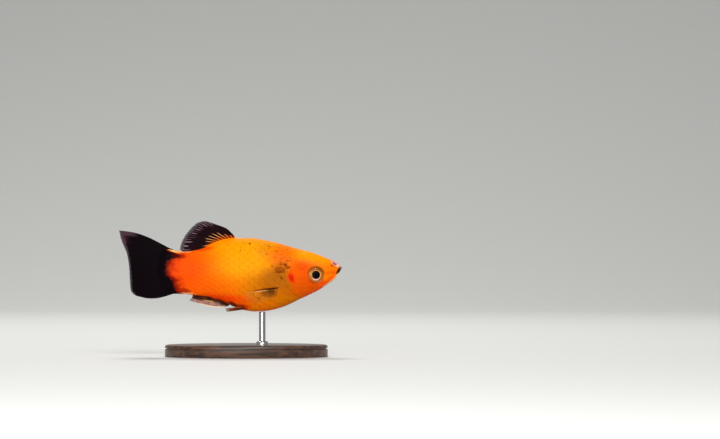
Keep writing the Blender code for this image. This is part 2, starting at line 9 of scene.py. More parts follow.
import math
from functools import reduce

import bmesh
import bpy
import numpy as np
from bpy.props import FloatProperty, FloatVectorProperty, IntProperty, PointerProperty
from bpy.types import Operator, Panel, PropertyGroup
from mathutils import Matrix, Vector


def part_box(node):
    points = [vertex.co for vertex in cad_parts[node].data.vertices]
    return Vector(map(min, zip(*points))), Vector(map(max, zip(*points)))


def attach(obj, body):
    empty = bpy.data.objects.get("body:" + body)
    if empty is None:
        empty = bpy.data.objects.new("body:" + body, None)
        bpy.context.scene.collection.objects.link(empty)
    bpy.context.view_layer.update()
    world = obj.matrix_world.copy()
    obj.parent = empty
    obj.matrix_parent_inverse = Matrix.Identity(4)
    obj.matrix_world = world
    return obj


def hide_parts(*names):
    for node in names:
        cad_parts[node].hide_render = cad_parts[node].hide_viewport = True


bl_info = {
    "name": "Wagtail Platy Model",
    "version": (1, 0, 0),
    "blender": (4, 5, 0),
    "location": "3D View > Sidebar > Platy",
    "description": "Builds the skin, scales, eyes, fins and stand of a life-size wagtail platy",
    "category": "Add Mesh",
}

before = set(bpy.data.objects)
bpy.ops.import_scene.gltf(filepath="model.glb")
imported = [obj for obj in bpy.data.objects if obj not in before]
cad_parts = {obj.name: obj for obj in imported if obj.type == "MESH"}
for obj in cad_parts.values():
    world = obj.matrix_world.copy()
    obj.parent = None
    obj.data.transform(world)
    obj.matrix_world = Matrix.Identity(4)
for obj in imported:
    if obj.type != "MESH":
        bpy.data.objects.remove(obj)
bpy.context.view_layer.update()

MM = 0.001
BODY = "root"
SNOUT_X = 27.5 * MM
AXIS_Z = 21.8 * MM
TAIL_SWING = 0.9 * MM
SWING_FROM, SWING_TO = 22.0 * MM, 41.7 * MM

# Body curves: (distance behind the snout, value), in millimetres
BACK = [(0, 0), (0.37, 0.83), (1.1, 1.35), (3.44, 2.31), (6.4, 3.5), (12.3, 5.2), (18.2, 6.75), (23, 7.45),
        (26, 7.35), (29, 6.95), (31.5, 6.1), (34, 5.0), (37, 4.27), (38.7, 4.12), (40.3, 4.3), (41.8, 4.55),
        (43.5, 5.05)]
BELLY = [(0, -0.1), (0.25, -0.6), (1, -1.9), (1.96, -2.95), (3.44, -3.95), (5.65, -5.4), (9.3, -7.2),
         (15.2, -9.85), (18.2, -10.55), (21.1, -10.75), (23.6, -10.5), (26, -9.75), (28.5, -8.55),
         (31, -7.5), (34, -6.95), (37, -6.68), (41, -6.45), (43.5, -6.5)]
HALF_WIDTH = [(0, 0), (0.3, 1.0), (1, 1.65), (2, 2.15), (3.5, 2.65), (6.4, 3.2), (9.3, 3.6), (12.3, 3.95),
              (15, 4.15), (18, 4.25), (21, 4.15), (24, 3.8), (27, 3.25), (30, 2.65), (33, 2.1), (36, 1.6),
              (39, 1.15), (41.5, 0.8), (43.5, 0.55)]
WIDEST_HEIGHT = [(0, 0), (1, -0.2), (3.4, -0.6), (6.4, -0.9), (12.3, -1.5), (18, -1.9), (24, -1.6),
                 (30, -1.0), (36, -0.9), (43.5, -0.7)]
SQUARENESS = [(0, 0.62), (3.5, 0.7), (8, 0.8), (14, 0.92), (24, 1.0), (43.5, 1.05)]

# Lines on the head and tail: (height, distance behind the snout), in millimetres
GILL_LINE = [(-8.4, 8.9), (-7.6, 9.8), (-6.8, 11.0), (-5, 13.0), (-2.8, 13.9), (-0.5, 13.2), (1.5, 12.2),
             (5.6, 11.9)]
GILL_FRONT = [(-6.1, 10.6), (-5.8, 9.5), (-5.2, 8.9), (-4, 8.55), (-2, 8.8), (0, 9.2), (0.9, 9.8),
              (1.3, 10.9)]
TAIL_ROOT_LINE = [(-6.4, 41.0), (-4, 42.4), (-1, 43.2), (2.5, 42.7), (4.9, 41.9)]
GAPE = [(0, -0.02), (0.35, -0.1), (0.8, -0.38), (1.15, -0.85), (1.4, -1.5)]
GAPE_END = 1.4 * MM
JAW_MIDDLE = (1.6 * MM, -0.4 * MM)
FACE_S = 3.4 * MM
SHOULDER_S = 20 * MM
TAIL_SHEATH, SHEATH_CURL = 2.2 * MM, 0.06 * MM

EYE_S, EYE_HEIGHT = 6.37 * MM, -1.65 * MM
EYE_YAW = math.radians(9)
# Nostrils: distance behind the snout, height and radius, in millimetres
NOSTRILS = [(2.5, 0.62, 0.2), (3.6, 0.35, 0.12)]
SIDES = (("right", -1), ("left", 1))

# Small steps along and round the body that its normals are found by, and halvings that find where lines meet
NUDGE_S, NUDGE_ANGLE = 0.01 * MM, 0.004
HALVINGS = 80


def srgb(red, green, blue):
    """A colour given as 0 to 255, as the linear values that materials take."""
    parts = (red / 255, green / 255, blue / 255)
    return tuple(c / 12.92 if c <= 0.04 else ((c + 0.055) / 1.055) ** 2.4 for c in parts)


def length(name, description, default):
    """A length in metres that a user may change."""
    return FloatProperty(name=name, description=description, default=default, min=0.0, precision=6,
                         subtype="DISTANCE", unit="LENGTH")


def colour(name, description, red, green, blue):
    """A colour, given as 0 to 255, that a user may change."""
    return FloatVectorProperty(name=name, description=description, default=srgb(red, green, blue), size=3,
                               min=0.0, max=1.0, subtype="COLOR")


def root_of(q):
    """Spaces a curve's points by their square root, so that the snout comes out blunt."""
    return np.sign(q) * np.sqrt(np.abs(q))


def smooth_curve(points, scale=MM, value_scale=None, bend=lambda q: q):
    """A function through the points, cubic between them and without overshoot, that takes arrays."""
    at = bend(np.array([p[0] for p in points], float) * scale)
    value = np.array([p[1] for p in points], float) * (scale if value_scale is None else value_scale)
    step = np.diff(at)
    slope = np.diff(value) / step
    before, after = 2 * step[1:] + step[:-1], step[1:] + 2 * step[:-1]
    turns = slope[:-1] * slope[1:] <= 0
    safe = np.where(np.abs(slope) < 1e-12, 1e-12, slope)
    inner = (before + after) / (before / safe[:-1] + after / safe[1:])
    tangent = np.concatenate([slope[:1], inner, slope[-1:]])
    tangent[1:-1][turns] = 0.0

    def evaluate(q):
        q = np.clip(bend(np.asarray(q, float)), at[0], at[-1])
        i = np.clip(np.searchsorted(at, q) - 1, 0, len(step) - 1)
        t = (q - at[i]) / step[i]
        return (value[i] * (1 + 2 * t) * (1 - t) ** 2 + tangent[i] * step[i] * t * (1 - t) ** 2
                + value[i + 1] * t * t * (3 - 2 * t) + tangent[i + 1] * step[i] * t * t * (t - 1))

    return evaluate


back = smooth_curve(BACK, bend=root_of)
belly = smooth_curve(BELLY, bend=root_of)
half_width = smooth_curve(HALF_WIDTH, bend=root_of)
widest_height = smooth_curve(WIDEST_HEIGHT)
squareness = smooth_curve(SQUARENESS, value_scale=1)
gill_line = smooth_curve(GILL_LINE)
gill_front = smooth_curve(GILL_FRONT)
tail_root_line = smooth_curve(TAIL_ROOT_LINE)
gape = smooth_curve(GAPE)


def fade(value, low, high):
    """0 below low, 1 above high, and smooth between them. low may be over high, to turn it round."""
    t = np.clip((value - low) / (high - low), 0, 1)
    return t * t * (3 - 2 * t)


def plateau(value, rise, full, still, gone):
    """0 outside rise to gone, and 1 from full to still, which are given in millimetres."""
    return fade(value, rise * MM, full * MM) * fade(value, gone * MM, still * MM)


def swell(distance, width):
    """A rounded hump, 1 at no distance."""
    return np.exp(-((distance / width) ** 2))


def unit(vectors):
    """The same directions at a length of 1."""
    return vectors / np.maximum(np.linalg.norm(vectors, axis=-1, keepdims=True), 1e-12)


def swing(s):
    """How far the tail's stroke has carried the body's middle to +Y."""
    return TAIL_SWING * np.maximum(0.0, (s - SWING_FROM) / (SWING_TO - SWING_FROM)) ** 2


def height_at(s, rise):
    """Height on the ring at s, for rise from -1 at the belly to 1 at the back."""
    middle = widest_height(s)
    return np.where(rise > 0, middle + (back(s) - middle) * rise, middle + (middle - belly(s)) * rise)


def angle_at(s, height):
    """The ring angle of a point on the body."""
    middle = widest_height(s)
    reach = np.where(height > middle, back(s) - middle, middle - belly(s))
    return np.arcsin(np.clip((height - middle) / np.maximum(reach, 1e-9), -1, 1))


def body_point(s, angle):
    """Points of the plain body in the part's frame, as arrays."""
    s, angle = np.broadcast_arrays(np.asarray(s, float), np.asarray(angle, float))
    across = np.cos(angle)
    side = half_width(s) * np.sign(across) * np.abs(across) ** squareness(s)
    return np.stack([SNOUT_X - s, side + swing(s), AXIS_Z + height_at(s, np.sin(angle))], -1)


def body_normal(s, angle):
    """Outward normals of the plain body's left side, up to the middle of the back and of the belly."""
    along = body_point(s + NUDGE_S, angle) - body_point(np.maximum(s - NUDGE_S, 0), angle)
    around = body_point(s, angle + NUDGE_ANGLE) - body_point(s, angle - NUDGE_ANGLE)
    return unit(np.cross(along, around))


def meet(line, angle):
    """How far behind the snout the ring lines at these angles cross a line on the body."""
    s = np.full(np.shape(angle), float(line(0.0)))
    for _ in range(HALVINGS):
        s = (s + line(height_at(s, np.sin(angle)))) / 2
    return s


def run_along(points):
    """How far each point has come from the first row, down its column."""
    steps = np.linalg.norm(np.diff(points, axis=0), axis=-1)
    return np.concatenate([np.zeros((1, points.shape[1])), np.cumsum(steps, axis=0)])


# Making meshes

def mesh_object(name, points, faces, material):
    """Makes a smooth object from points and faces, and finishes it with one material."""
    mesh = bpy.data.meshes.new(name)
    mesh.from_pydata(points.reshape(-1, 3).tolist(), [], faces)
    mesh.materials.append(material)
    mesh.shade_smooth()
    piece = bpy.data.objects.new(name, mesh)
    bpy.context.scene.collection.objects.link(piece)
    return piece


def weld(piece, distance=1e-7):
    """Joins the points that lie on each other, and drops the faces that this leaves without area."""
    work = bmesh.new()
    work.from_mesh(piece.data)
    bmesh.ops.remove_doubles(work, verts=work.verts, dist=distance)
    bmesh.ops.dissolve_degenerate(work, edges=work.edges, dist=distance)
    work.to_mesh(piece.data)
    work.free()


def add_values(piece, **values):
    """Stores one number a point under each name, for the material to read."""
    for name, numbers in values.items():
        layer = piece.data.attributes.new(name, "FLOAT", "POINT")
        layer.data.foreach_set("value", np.ascontiguousarray(numbers, np.float32).ravel())


def add_bake_map(piece, corner_places):
    """Lays the faces out on the bake map, one place for each corner."""
    layer = piece.data.uv_layers.new(name="OFBake")
    layer.data.foreach_set("uv", np.ascontiguousarray(corner_places, np.float32).ravel())


def ring_faces(rows, columns):
    """Faces of rows of points that close round the body."""
    return [(r * columns + c, (r + 1) * columns + c, (r + 1) * columns + (c + 1) % columns,
             r * columns + (c + 1) % columns) for r in range(rows - 1) for c in range(columns)]


def slab_faces(rows, columns):
    """Faces of two like sheets of points, one behind the other, and of the rim between them."""
    sheet, faces = rows * columns, []
    for r in range(rows - 1):
        for c in range(columns - 1):
            a = r * columns + c
            faces.append((a, a + 1, a + columns + 1, a + columns))
            faces.append((sheet + a, sheet + a + columns, sheet + a + columns + 1, sheet + a + 1))
    rim = list(range(columns)) + [r * columns + columns - 1 for r in range(1, rows)]
    rim += [(rows - 1) * columns + c for c in range(columns - 2, -1, -1)]
    rim += [r * columns for r in range(rows - 2, 0, -1)]
    return faces + [(a, sheet + a, sheet + b, b) for a, b in zip(rim, rim[1:] + rim[:1])]


def belongs(piece, slot, *nodes):
    """Fixes a piece to the model, and puts it in place of solids. The slot is not used."""
    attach(piece, BODY)
    if nodes:
        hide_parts(*nodes)


# Making materials

def dimmed(tone, factor):
    """A colour made darker, or lighter where the factor is over 1."""
    return tuple(part * factor for part in tone)


class Nodes:
    """A short way to add nodes to one tree."""

    def __init__(self, tree):
        self.tree = tree

    def add(self, kind, inputs=(), **settings):
        """Adds a node, sets its options and feeds its inputs, which go by name or number."""
        node = self.tree.nodes.new(kind)
        for name, value in settings.items():
            setattr(node, name, value)
        for name, value in dict(inputs).items():
            self.feed(node.inputs[name], value)
        return node

    def feed(self, socket, value):
        """Links a socket to another, or sets its plain value. A plain colour has three parts."""
        if isinstance(value, bpy.types.NodeSocket):
            self.tree.links.new(value, socket)
        elif socket.type == "RGBA":
            socket.default_value = (*value[:3], 1.0)
        else:
            socket.default_value = value

    def maths(self, operation, *values):
        """A maths node on numbers or sockets."""
        return self.add("ShaderNodeMath", dict(enumerate(values)), operation=operation).outputs[0]

    def linear(self, value, slope, start):
        """The value times the slope, plus the start."""
        return self.maths("MULTIPLY_ADD", value, slope, start)

    def opposite(self, share):
        """What is left of 1."""
        return self.maths("SUBTRACT", 1.0, share)

    def times(self, *factors):
        """All the factors multiplied."""
        return reduce(lambda a, b: self.maths("MULTIPLY", a, b), factors)

    def most(self, *values):
        """The highest of the values."""
        return reduce(lambda a, b: self.maths("MAXIMUM", a, b), values)

    def fade(self, value, low, high, top=1.0):
        """0 below low, top above high, and smooth between them. low may be over high, to turn it round."""
        inputs = {"Value": value, "From Min": low, "From Max": high, "To Min": 0.0, "To Max": top}
        if low > high:
            inputs.update({"From Min": high, "From Max": low, "To Min": top, "To Max": 0.0})
        return self.add("ShaderNodeMapRange", inputs, interpolation_type="SMOOTHSTEP").outputs[0]

    def plateau(self, value, rise, full, still, gone):
        """0 outside rise to gone, and 1 from full to still."""
        return self.times(self.fade(value, rise, full), self.fade(value, gone, still))

    def vector(self, operation, *vectors):
        """Vector maths. A length, distance or dot product comes out as a number."""
        node = self.add("ShaderNodeVectorMath", dict(enumerate(vectors)), operation=operation)
        return node.outputs["Value" if operation in ("LENGTH", "DISTANCE", "DOT_PRODUCT") else "Vector"]

    def flat(self, along, up):
        """A vector from two numbers."""
        return self.add("ShaderNodeCombineXYZ", {0: along, 1: up}).outputs[0]

    def mix(self, share, a, b):
        """Colour a at a share of 0, and colour b at 1."""
        return self.add("ShaderNodeMix", {0: share, 6: a, 7: b}, data_type="RGBA").outputs[2]

    def shaded(self, share, tone, tint):
        """The colour, with as much of it multiplied by the tint as the share says."""
        inputs = {0: share, 6: tone, 7: tint}
        return self.add("ShaderNodeMix", inputs, data_type="RGBA", blend_type="MULTIPLY").outputs[2]

    def value(self, name):
        """A number that is stored at the mesh's points."""
        return self.add("ShaderNodeAttribute", attribute_name=name).outputs["Fac"]

    def place(self):
        """Places on the object, in metres."""
        return self.add("ShaderNodeTexCoord").outputs["Object"]

    def noise(self, size, detail=2.0, vector=None):
        """Soft noise whose lumps are about size metres across."""
        inputs = {"Vector": vector or self.place(), "Scale": 1 / size, "Detail": detail}
        return self.add("ShaderNodeTexNoise", inputs).outputs[0]

    def wander(self, size, reach, detail=2.0, vector=None):
        """Soft noise about 0, with a range of reach in all."""
        return self.linear(self.noise(size, detail, vector), reach, -reach / 2)

    def cells(self, size, output="Distance", vector=None):
        """Round cells about size metres across: the distance to the middle of each, or its own colour."""
        inputs = {"Vector": vector or self.place(), "Scale": 1 / size}
        return self.add("ShaderNodeTexVoronoi", inputs).outputs[output]

    def bump(self, height, distance, strength):
        """A normal that shows the height as relief."""
        inputs = {"Height": height, "Distance": distance, "Strength": strength}
        return self.add("ShaderNodeBump", inputs).outputs[0]


class Finish(Nodes):
    """A material, with its main shader at hand."""

    def __init__(self, name, **plain):
        self.material = bpy.data.materials.new(name)
        self.material.use_nodes = True
        super().__init__(self.material.node_tree)
        self.shader = self.tree.nodes["Principled BSDF"]
        self.set(**plain)

    def set(self, **inputs):
        """Feeds the main shader. Base_Color stands for its socket Base Color, and so on."""
        for name, value in inputs.items():
            self.feed(self.shader.inputs[name.replace("_", " ")], value)


# Colours and sizes that a user may change

class PlatySkinSettings(PropertyGroup):
    """Colours of the body, and sizes of its skin, lips and gill covers"""

    orange: colour("Orange", "Ground colour of the body", 255, 122, 0)
    yellow: colour("Yellow", "Flank and back", 255, 157, 0)
    red_orange: colour("Red orange", "Tail stock and cheeks", 255, 82, 0)
    rust: colour("Rust", "Lower cheek", 215, 70, 0)
    # Partly the belly's own duller colour, where the flesh is thin, and partly painted shade: the belly
    # darker because the light falls from above.
    ochre: colour("Ochre", "Belly, where the flesh is thin", 214, 114, 0)
    scarlet: colour("Scarlet", "Lower edge of the rear belly", 255, 52, 0)
    olive: colour("Olive", "Dull patch behind the pectoral fin's root", 176, 96, 8)
    gill_red: colour("Gill red", "Spot where the gills shine through", 200, 16, 0)
    brown: colour("Brown", "Smudges and specks", 112, 30, 0)
    crimson: colour("Crimson", "Tail stock before the black", 200, 34, 0)
    maroon: colour("Maroon", "Blotches before the anal fin and the edge of the black", 92, 8, 0)
    cream: colour("Cream", "Lit edges", 255, 214, 150)
    black: colour("Black", "Tail root", 10, 4, 8)
    lip: colour("Lip", "Front of the snout", 226, 178, 162)
    mauve: colour("Mauve", "Tip of the snout", 180, 112, 144)
    plum: colour("Plum", "Blotches on the snout", 122, 48, 60)
    bronze: colour("Bronze", "Corner of the mouth", 92, 66, 22)
    # Painted shadow that the pectoral fin casts on the body.
    umber: colour("Umber", "Dark patch under the pectoral fin", 96, 46, 0)
    # Painted shade on the skin over the top of the eye, going on from the iris's darker top.
    orbit: colour("Orbit", "Skin round the top of the eye", 160, 84, 6)
    # Painted shade: the dark inside of the mouth, and the shadow in its gape.
    mouth: colour("Mouth", "Inside of the mouth", 38, 16, 4)
    lip_radius: length("Lip radius", "Thickness of the lips", 0.2 * MM)
    mouth_open: length("Mouth opening", "Gap between the lips", 0.08 * MM)
    gill_lift: length("Gill cover lift", "How far the gill cover's edge stands off", 0.12 * MM)
    scale_depth: length("Scale depth", "How far the skin lies below the scales' rims", 0.09 * MM)
    half_columns: IntProperty(name="Half columns", description="Points on half a ring", default=110, min=24)


class PlatyScaleSettings(PropertyGroup):
    """Size and number of the scales"""

    pitch: length("Pitch", "Distance from one column of scales to the next", 1.24 * MM)
    overlap: FloatProperty(name="Overlap", description="Length of a scale over the pitch", default=1.55)
    around: IntProperty(name="Rows round the body", description="Scales in a column, both sides", default=22)
    thickness: length("Thickness", "Thickness of one scale", 0.014 * MM)
    grid: IntProperty(name="Grid", description="Points along and across one scale", default=9, min=5)
    seed: IntProperty(name="Seed", description="Seed of the small differences between scales", default=4)


class PlatyEyeSettings(PropertyGroup):
    """Sizes and colours of the eyes"""

    radius: length("Radius", "Radius of the eyeball seen from the side", 2.0 * MM)
    pupil: length("Pupil", "Radius of the pupil", 1.03 * MM)
    bulge: length("Bulge", "How far the eye stands out of the head", 0.36 * MM)
    black: colour("Pupil black", "Pupil", 3, 1, 2)
    ring: colour("Inner ring", "Bright ring round the pupil", 236, 160, 82)
    white: colour("Lower ring", "Paler lower part of the ring", 228, 186, 184)
    gold: colour("Gold", "Outer ring", 172, 104, 42)
    # Painted shade over the upper part of the outer ring.
    shade: colour("Shade", "Upper part of the outer ring", 128, 60, 2)


class PlatyFinSettings(PropertyGroup):
    """Thickness, rays and colours of the fins"""

    membrane: length("Membrane", "Half thickness of the membrane at the root", 0.05 * MM)
    ray: length("Ray", "How far a ray stands out of the membrane at the root", 0.1 * MM)
    joint: length("Joint", "Distance between the joints of a ray", 0.32 * MM)
    columns: IntProperty(name="Columns", description="Columns of points from one ray to the next", default=14)
    black: colour("Black", "Dorsal and tail fin", 8, 3, 7)
    maroon: colour("Maroon", "Thin parts of the dark fins", 52, 12, 18)
    rust: colour("Rust", "Skin between the rays' roots", 128, 32, 0)
    pale: colour("Pale rays", "Tips of the rays", 150, 122, 134)
    clear: colour("Smoky rim", "Thin rim of the dark fins", 76, 64, 72)
    corner: colour("Corner", "Thin upper corner of the tail fin", 72, 52, 60)
    amber: colour("Amber rays", "Roots of the dorsal rays", 248, 184, 112)
    bright: colour("Bright edge", "Leading edge of the anal fin", 255, 232, 196)
    flesh: colour("Flesh", "Anal and pelvic fins", 232, 168, 148)
    glass: colour("Glass", "Pectoral fins", 255, 170, 80)


class PlatyStandSettings(PropertyGroup):
    """Colours of the stand, and the collar's size"""

    wood: colour("Wood", "Light grain of the base", 96, 62, 40)
    wood_dark: colour("Dark grain", "Dark grain of the base", 46, 27, 17)
    steel: colour("Steel", "Rod and collar", 200, 200, 198)
    collar_radius: length("Collar radius", "Radius of the collar at the rod's foot", 1.5 * MM)
    collar_height: length("Collar height", "Height of the collar", 0.9 * MM)


class PlatyStageSettings(PropertyGroup):
    """Camera, floor and lights"""

    distance: length("Camera distance", "From the camera to the fish's middle plane", 900 * MM)
    lens: FloatProperty(name="Lens", description="Focal length in millimetres", default=183.3)
    aim_x: length("Aim along", "Where the camera looks, along the fish", 31.9 * MM)
    aim_z: length("Aim height", "Height of the camera", 33.7 * MM)
    floor: colour("Floor", "Floor and backdrop", 216, 216, 213)
    key: FloatProperty(name="Key light", description="Power of the key light in watts", default=1.9)
    rim: FloatProperty(name="Rim light", description="Power of the light behind in watts", default=2.2)
    fill: FloatProperty(name="Fill light", description="Power of the front light in watts", default=1.45)
    sky: FloatProperty(name="Sky", description="Strength of the light all round", default=0.3)


# Skin: one closed surface from inside the mouth, over the lips, to the tail root

# Distance behind the snout and height of the throat and of its deepest point, and parts of the way to it
THROAT, DEEPEST = (3.0 * MM, -0.9 * MM), (3.6 * MM, -1.0 * MM)
THROAT_PARTS = (0.9, 0.65, 0.42, 0.24, 0.1)
# Rows of points on each stretch behind the throat
LIP_ROWS, FACE_ROWS, HEAD_ROWS, SHOULDER_ROWS, TRUNK_ROWS, SHEATH_ROWS = 14, 33, 99, 62, 123, 11
# The lip: the turn that it is drawn through, in degrees, how much it thins towards the corner of the mouth,
# how deep its middle lies, and where the face's rows begin, both in lip radii
LIP_FROM, LIP_TO, LIP_THINNING, LIP_SINK, LIP_REACH = 240, 35, 0.45, 0.45, 1.9
# Samples of the way from the lips to the face, the one that the lip leans to, and how the rows crowd
FACE_SAMPLES, LIP_SAMPLE, FACE_CROWDING = 80, 6, 1.15
# Rows behind the lips over which the relief sets in
CALM_ROWS = 6
GILL_STEP, TAIL_MARGIN = 0.04 * MM, 0.4 * MM
# How dark the painted shade in the rows of the mouth is, from the deepest
MOUTH_SHADE_LEVELS = (1, 1, 1, 1, 0.9, 0.6)
# Share of the scale depth that the bare skin of the head is lowered by
BARE_SHARE = 0.15


def towards_corner(angles):
    """0 in the middle of the lips, and 1 at the corner of the mouth."""
    return 1 - np.abs(angles) / (math.pi / 2)


def mouth_edge(settings, angles):
    """The rim of the mouth opening for each ring angle of the left side, as distance and ring angle."""

    def opening(s, up):
        return gape(s) + np.where(up, 1, -1) * settings.mouth_open / 2 * (1 - (s / GAPE_END) ** 4)

    tries = np.arange(0.002, 0.6, 0.002) * MM
    upper_start = tries[np.argmax(back(tries) > opening(tries, True))]
    lower_start = tries[np.argmax(belly(tries) < opening(tries, False))]
    upper = angles >= 0
    start = np.where(upper, upper_start, lower_start)
    s = start + (GAPE_END - start) * towards_corner(angles) ** 2
    return s, angle_at(s, opening(s, upper))


def mouth_rows(settings, angles):
    """Rows of points from deep in the mouth over the lips, and the ring positions from there to the face."""
    edge_s, edge_angle = mouth_edge(settings, angles)

    def towards_face(part):
        """Ring positions a part of the way from the mouth's edge to the face."""
        s = (np.sqrt(edge_s) + (np.sqrt(FACE_S) - np.sqrt(edge_s)) * part) ** 2
        return s, edge_angle + (angles - edge_angle) * part

    edge = body_point(edge_s, edge_angle)
    samples = np.linspace(0, 1, FACE_SAMPLES)[:, None]
    path = body_point(*towards_face(samples))
    travelled = run_along(path)
    along = unit(path[LIP_SAMPLE] - edge)
    out = edge - np.array([SNOUT_X - JAW_MIDDLE[0], 0, AXIS_Z + JAW_MIDDLE[1]])
    out = unit(out - np.sum(out * along, -1, keepdims=True) * along)
    radius = (settings.lip_radius * (1 - LIP_THINNING * towards_corner(angles) ** 2))[:, None]
    centre = edge + along * radius - out * radius * LIP_SINK
    lips = [centre + radius * (math.cos(turn) * along + math.sin(turn) * out)
            for turn in np.radians(np.linspace(LIP_FROM, LIP_TO, LIP_ROWS))]
    throat = np.stack([np.full(len(angles), SNOUT_X - THROAT[0]), edge[:, 1] * 0.5,
                       AXIS_Z + THROAT[1] + 0.4 * (edge[:, 2] - AXIS_Z + 0.6 * MM)], -1)
    deepest = np.tile(np.array([SNOUT_X - DEEPEST[0], 0.0, AXIS_Z + DEEPEST[1]]), (len(angles), 1))
    inner = [lips[0] + (throat - lips[0]) * part for part in THROAT_PARTS]
    start = radius[:, 0] * LIP_REACH
    positions = []
    for part in np.linspace(0, 1, FACE_ROWS + 1)[1:] ** FACE_CROWDING:
        wanted = start + (travelled[-1] - start) * part
        at = np.array([np.interp(w, column, samples[:, 0]) for w, column in zip(wanted, travelled.T)])
        positions.append(towards_face(at))
    face_s, face_angle = (np.array(rows) for rows in zip(*positions))
    return [deepest] + inner + lips, face_s, face_angle


def body_rings(angles):
    """Ring positions from the face to the tail root, with one row on the gill cover's edge."""
    gill = meet(gill_line, angles)
    behind_gill = gill + GILL_STEP
    tail = meet(tail_root_line, angles) + TAIL_MARGIN
    rings = [FACE_S + (gill - FACE_S) * t for t in np.linspace(0, 1, HEAD_ROWS + 1)[1:]]
    rings += [behind_gill + (SHOULDER_S - behind_gill) * t for t in np.linspace(0, 1, SHOULDER_ROWS)]
    rings += [SHOULDER_S + (tail - SHOULDER_S) * t for t in np.linspace(0, 1, TRUNK_ROWS + 1)[1:]]
    return np.array(rings)


# The scales' front edge over the nape, as two heights and its distance behind the snout at each, in mm, and
# the gap that it keeps to the gill cover below them
NAPE_HEIGHTS, NAPE_FRONT, SCALE_GAP = (1.5, 3.4), (12.4, 9.0), 0.15 * MM


def scale_front(height):
    """Where the scales begin: just behind the gill cover's edge, and further forward over the nape."""
    nape = np.interp(height / MM, NAPE_HEIGHTS, NAPE_FRONT) * MM
    return np.where(height < NAPE_HEIGHTS[0] * MM, gill_line(height) + SCALE_GAP, nape)


def scaled_area(s, height):
    """1 where scales cover the skin, and 0 on the head."""
    return fade(s - scale_front(height), -0.5 * MM, 0.3 * MM)


def segment_distance(s, height, start, end):
    """Distance in side view to a straight crease, given in millimetres."""
    a, b = np.array(start) * MM, np.array(end) * MM
    t = np.clip(((s - a[0]) * (b[0] - a[0]) + (height - a[1]) * (b[1] - a[1])) / np.sum((b - a) ** 2), 0, 1)
    return np.hypot(s - a[0] - t * (b[0] - a[0]), height - a[1] - t * (b[1] - a[1]))


# Creases of the head: two ends as (distance behind the snout, height), depth and half width, in millimetres
CREASES = [
    ((1.45, -1.55), (2.3, -2.45), 0.10, 0.14),
    ((2.3, -2.45), (3.6, -3.35), 0.05, 0.12),
    ((1.35, -0.2), (1.9, -1.35), 0.06, 0.12),
    ((9.1, -3.9), (13.3, -4.7), 0.045, 0.11),
    ((8.6, -2.0), (5.6, -4.1), 0.03, 0.14),
    ((5.6, -4.1), (3.6, -2.6), 0.03, 0.14),
]
SOCKET_DEPTH, SOCKET_BOTTOM, SOCKET_RIM = 1.0 * MM, 1.72 * MM, 1.97 * MM
ORBIT_RISE, ORBIT_RADIUS, ORBIT_WIDTH = 0.05 * MM, 2.25 * MM, 0.24 * MM
# Of a nostril, in its own radii: its depth, and the rise, radius and half width of its rim
NOSTRIL_DEPTH, NOSTRIL_RIM = 1.5, (0.25, 1.7, 0.5)
# The cheek's edge: its groove, the ridge before it, and the heights where they begin, are full, are still
# full and end, in millimetres
CHEEK_GROOVE, CHEEK_RIDGE = 0.06 * MM, 0.04 * MM
CHEEK_SPAN = (-6.0, -5.4, 0.6, 1.2)
THROAT_FOLD_DEPTH, THROAT_FOLD_STEP, THROAT_FOLD_SLANT = 0.022 * MM, 0.7 * MM, 0.75
# The gill cover's free edge: its span of heights as above, how far ahead of it the skin begins to rise, and
# the distance over which the sunk skin behind it comes up again
GILL_SPAN, GILL_REACH, GILL_SHADOW = (-7.4, -5.6, 1.3, 2.9), 2.4 * MM, 0.5 * MM


def head_relief(s, height):
    """How far the skin of the head stands out of the plain body: orbit, nostrils, cheek and jaw creases."""
    around_eye = np.hypot(s - EYE_S, height - EYE_HEIGHT)
    relief = -SOCKET_DEPTH * fade(around_eye, SOCKET_RIM, SOCKET_BOTTOM)
    relief += ORBIT_RISE * swell(around_eye - ORBIT_RADIUS, ORBIT_WIDTH)
    rise, ring, width = NOSTRIL_RIM
    for nostril_s, nostril_height, radius in NOSTRILS:
        away = np.hypot(s - nostril_s * MM, (height - nostril_height * MM) * 1.2)
        relief -= NOSTRIL_DEPTH * radius * MM * swell(away, radius * MM)
        relief += rise * radius * MM * swell(away - ring * radius * MM, width * radius * MM)
    cheek = s - gill_front(height)
    groove = CHEEK_RIDGE * swell(cheek + 0.3 * MM, 0.25 * MM) - CHEEK_GROOVE * swell(cheek, 0.13 * MM)
    relief += plateau(height, *CHEEK_SPAN) * groove
    for start, end, depth, width in CREASES:
        relief -= depth * MM * swell(segment_distance(s, height, start, end), width * MM)
    throat = fade(height, -4.9 * MM, -5.8 * MM) * fade(s, 5.6 * MM, 7.0 * MM)
    throat *= fade(s - gill_line(height), 0, -0.6 * MM)
    folds = np.cos(2 * math.pi * (s + THROAT_FOLD_SLANT * height) / THROAT_FOLD_STEP)
    return relief + THROAT_FOLD_DEPTH * throat * folds


def gill_relief(settings, s, height, behind):
    """The gill cover's edge: skin in front of it stands off, and skin behind it is sunk."""
    window = plateau(height, *GILL_SPAN) * (0.4 + 0.6 * fade(height, -5.6 * MM, -3.4 * MM))
    gap = s - gill_line(height)
    front = settings.gill_lift * fade(gap, -GILL_REACH, -0.1 * MM)
    rear = -0.9 * settings.gill_lift * np.exp(-np.maximum(gap, 0) / GILL_SHADOW)
    return window * np.where(behind, rear, front)


# Fleshy sheaths at the roots of the dorsal and anal fins: whether on the back, rise, half width, and where
# along the body each begins, is full, is still full and ends, in millimetres
SHEATHS = [(True, 0.24, 0.5, (25.4, 26.4, 33.0, 34.2)), (False, 0.2, 0.45, (27.2, 28.0, 31.4, 32.4))]
# The vent: distance behind the snout, rise and half width, in millimetres
VENT = (27.0, 0.16, 0.4)
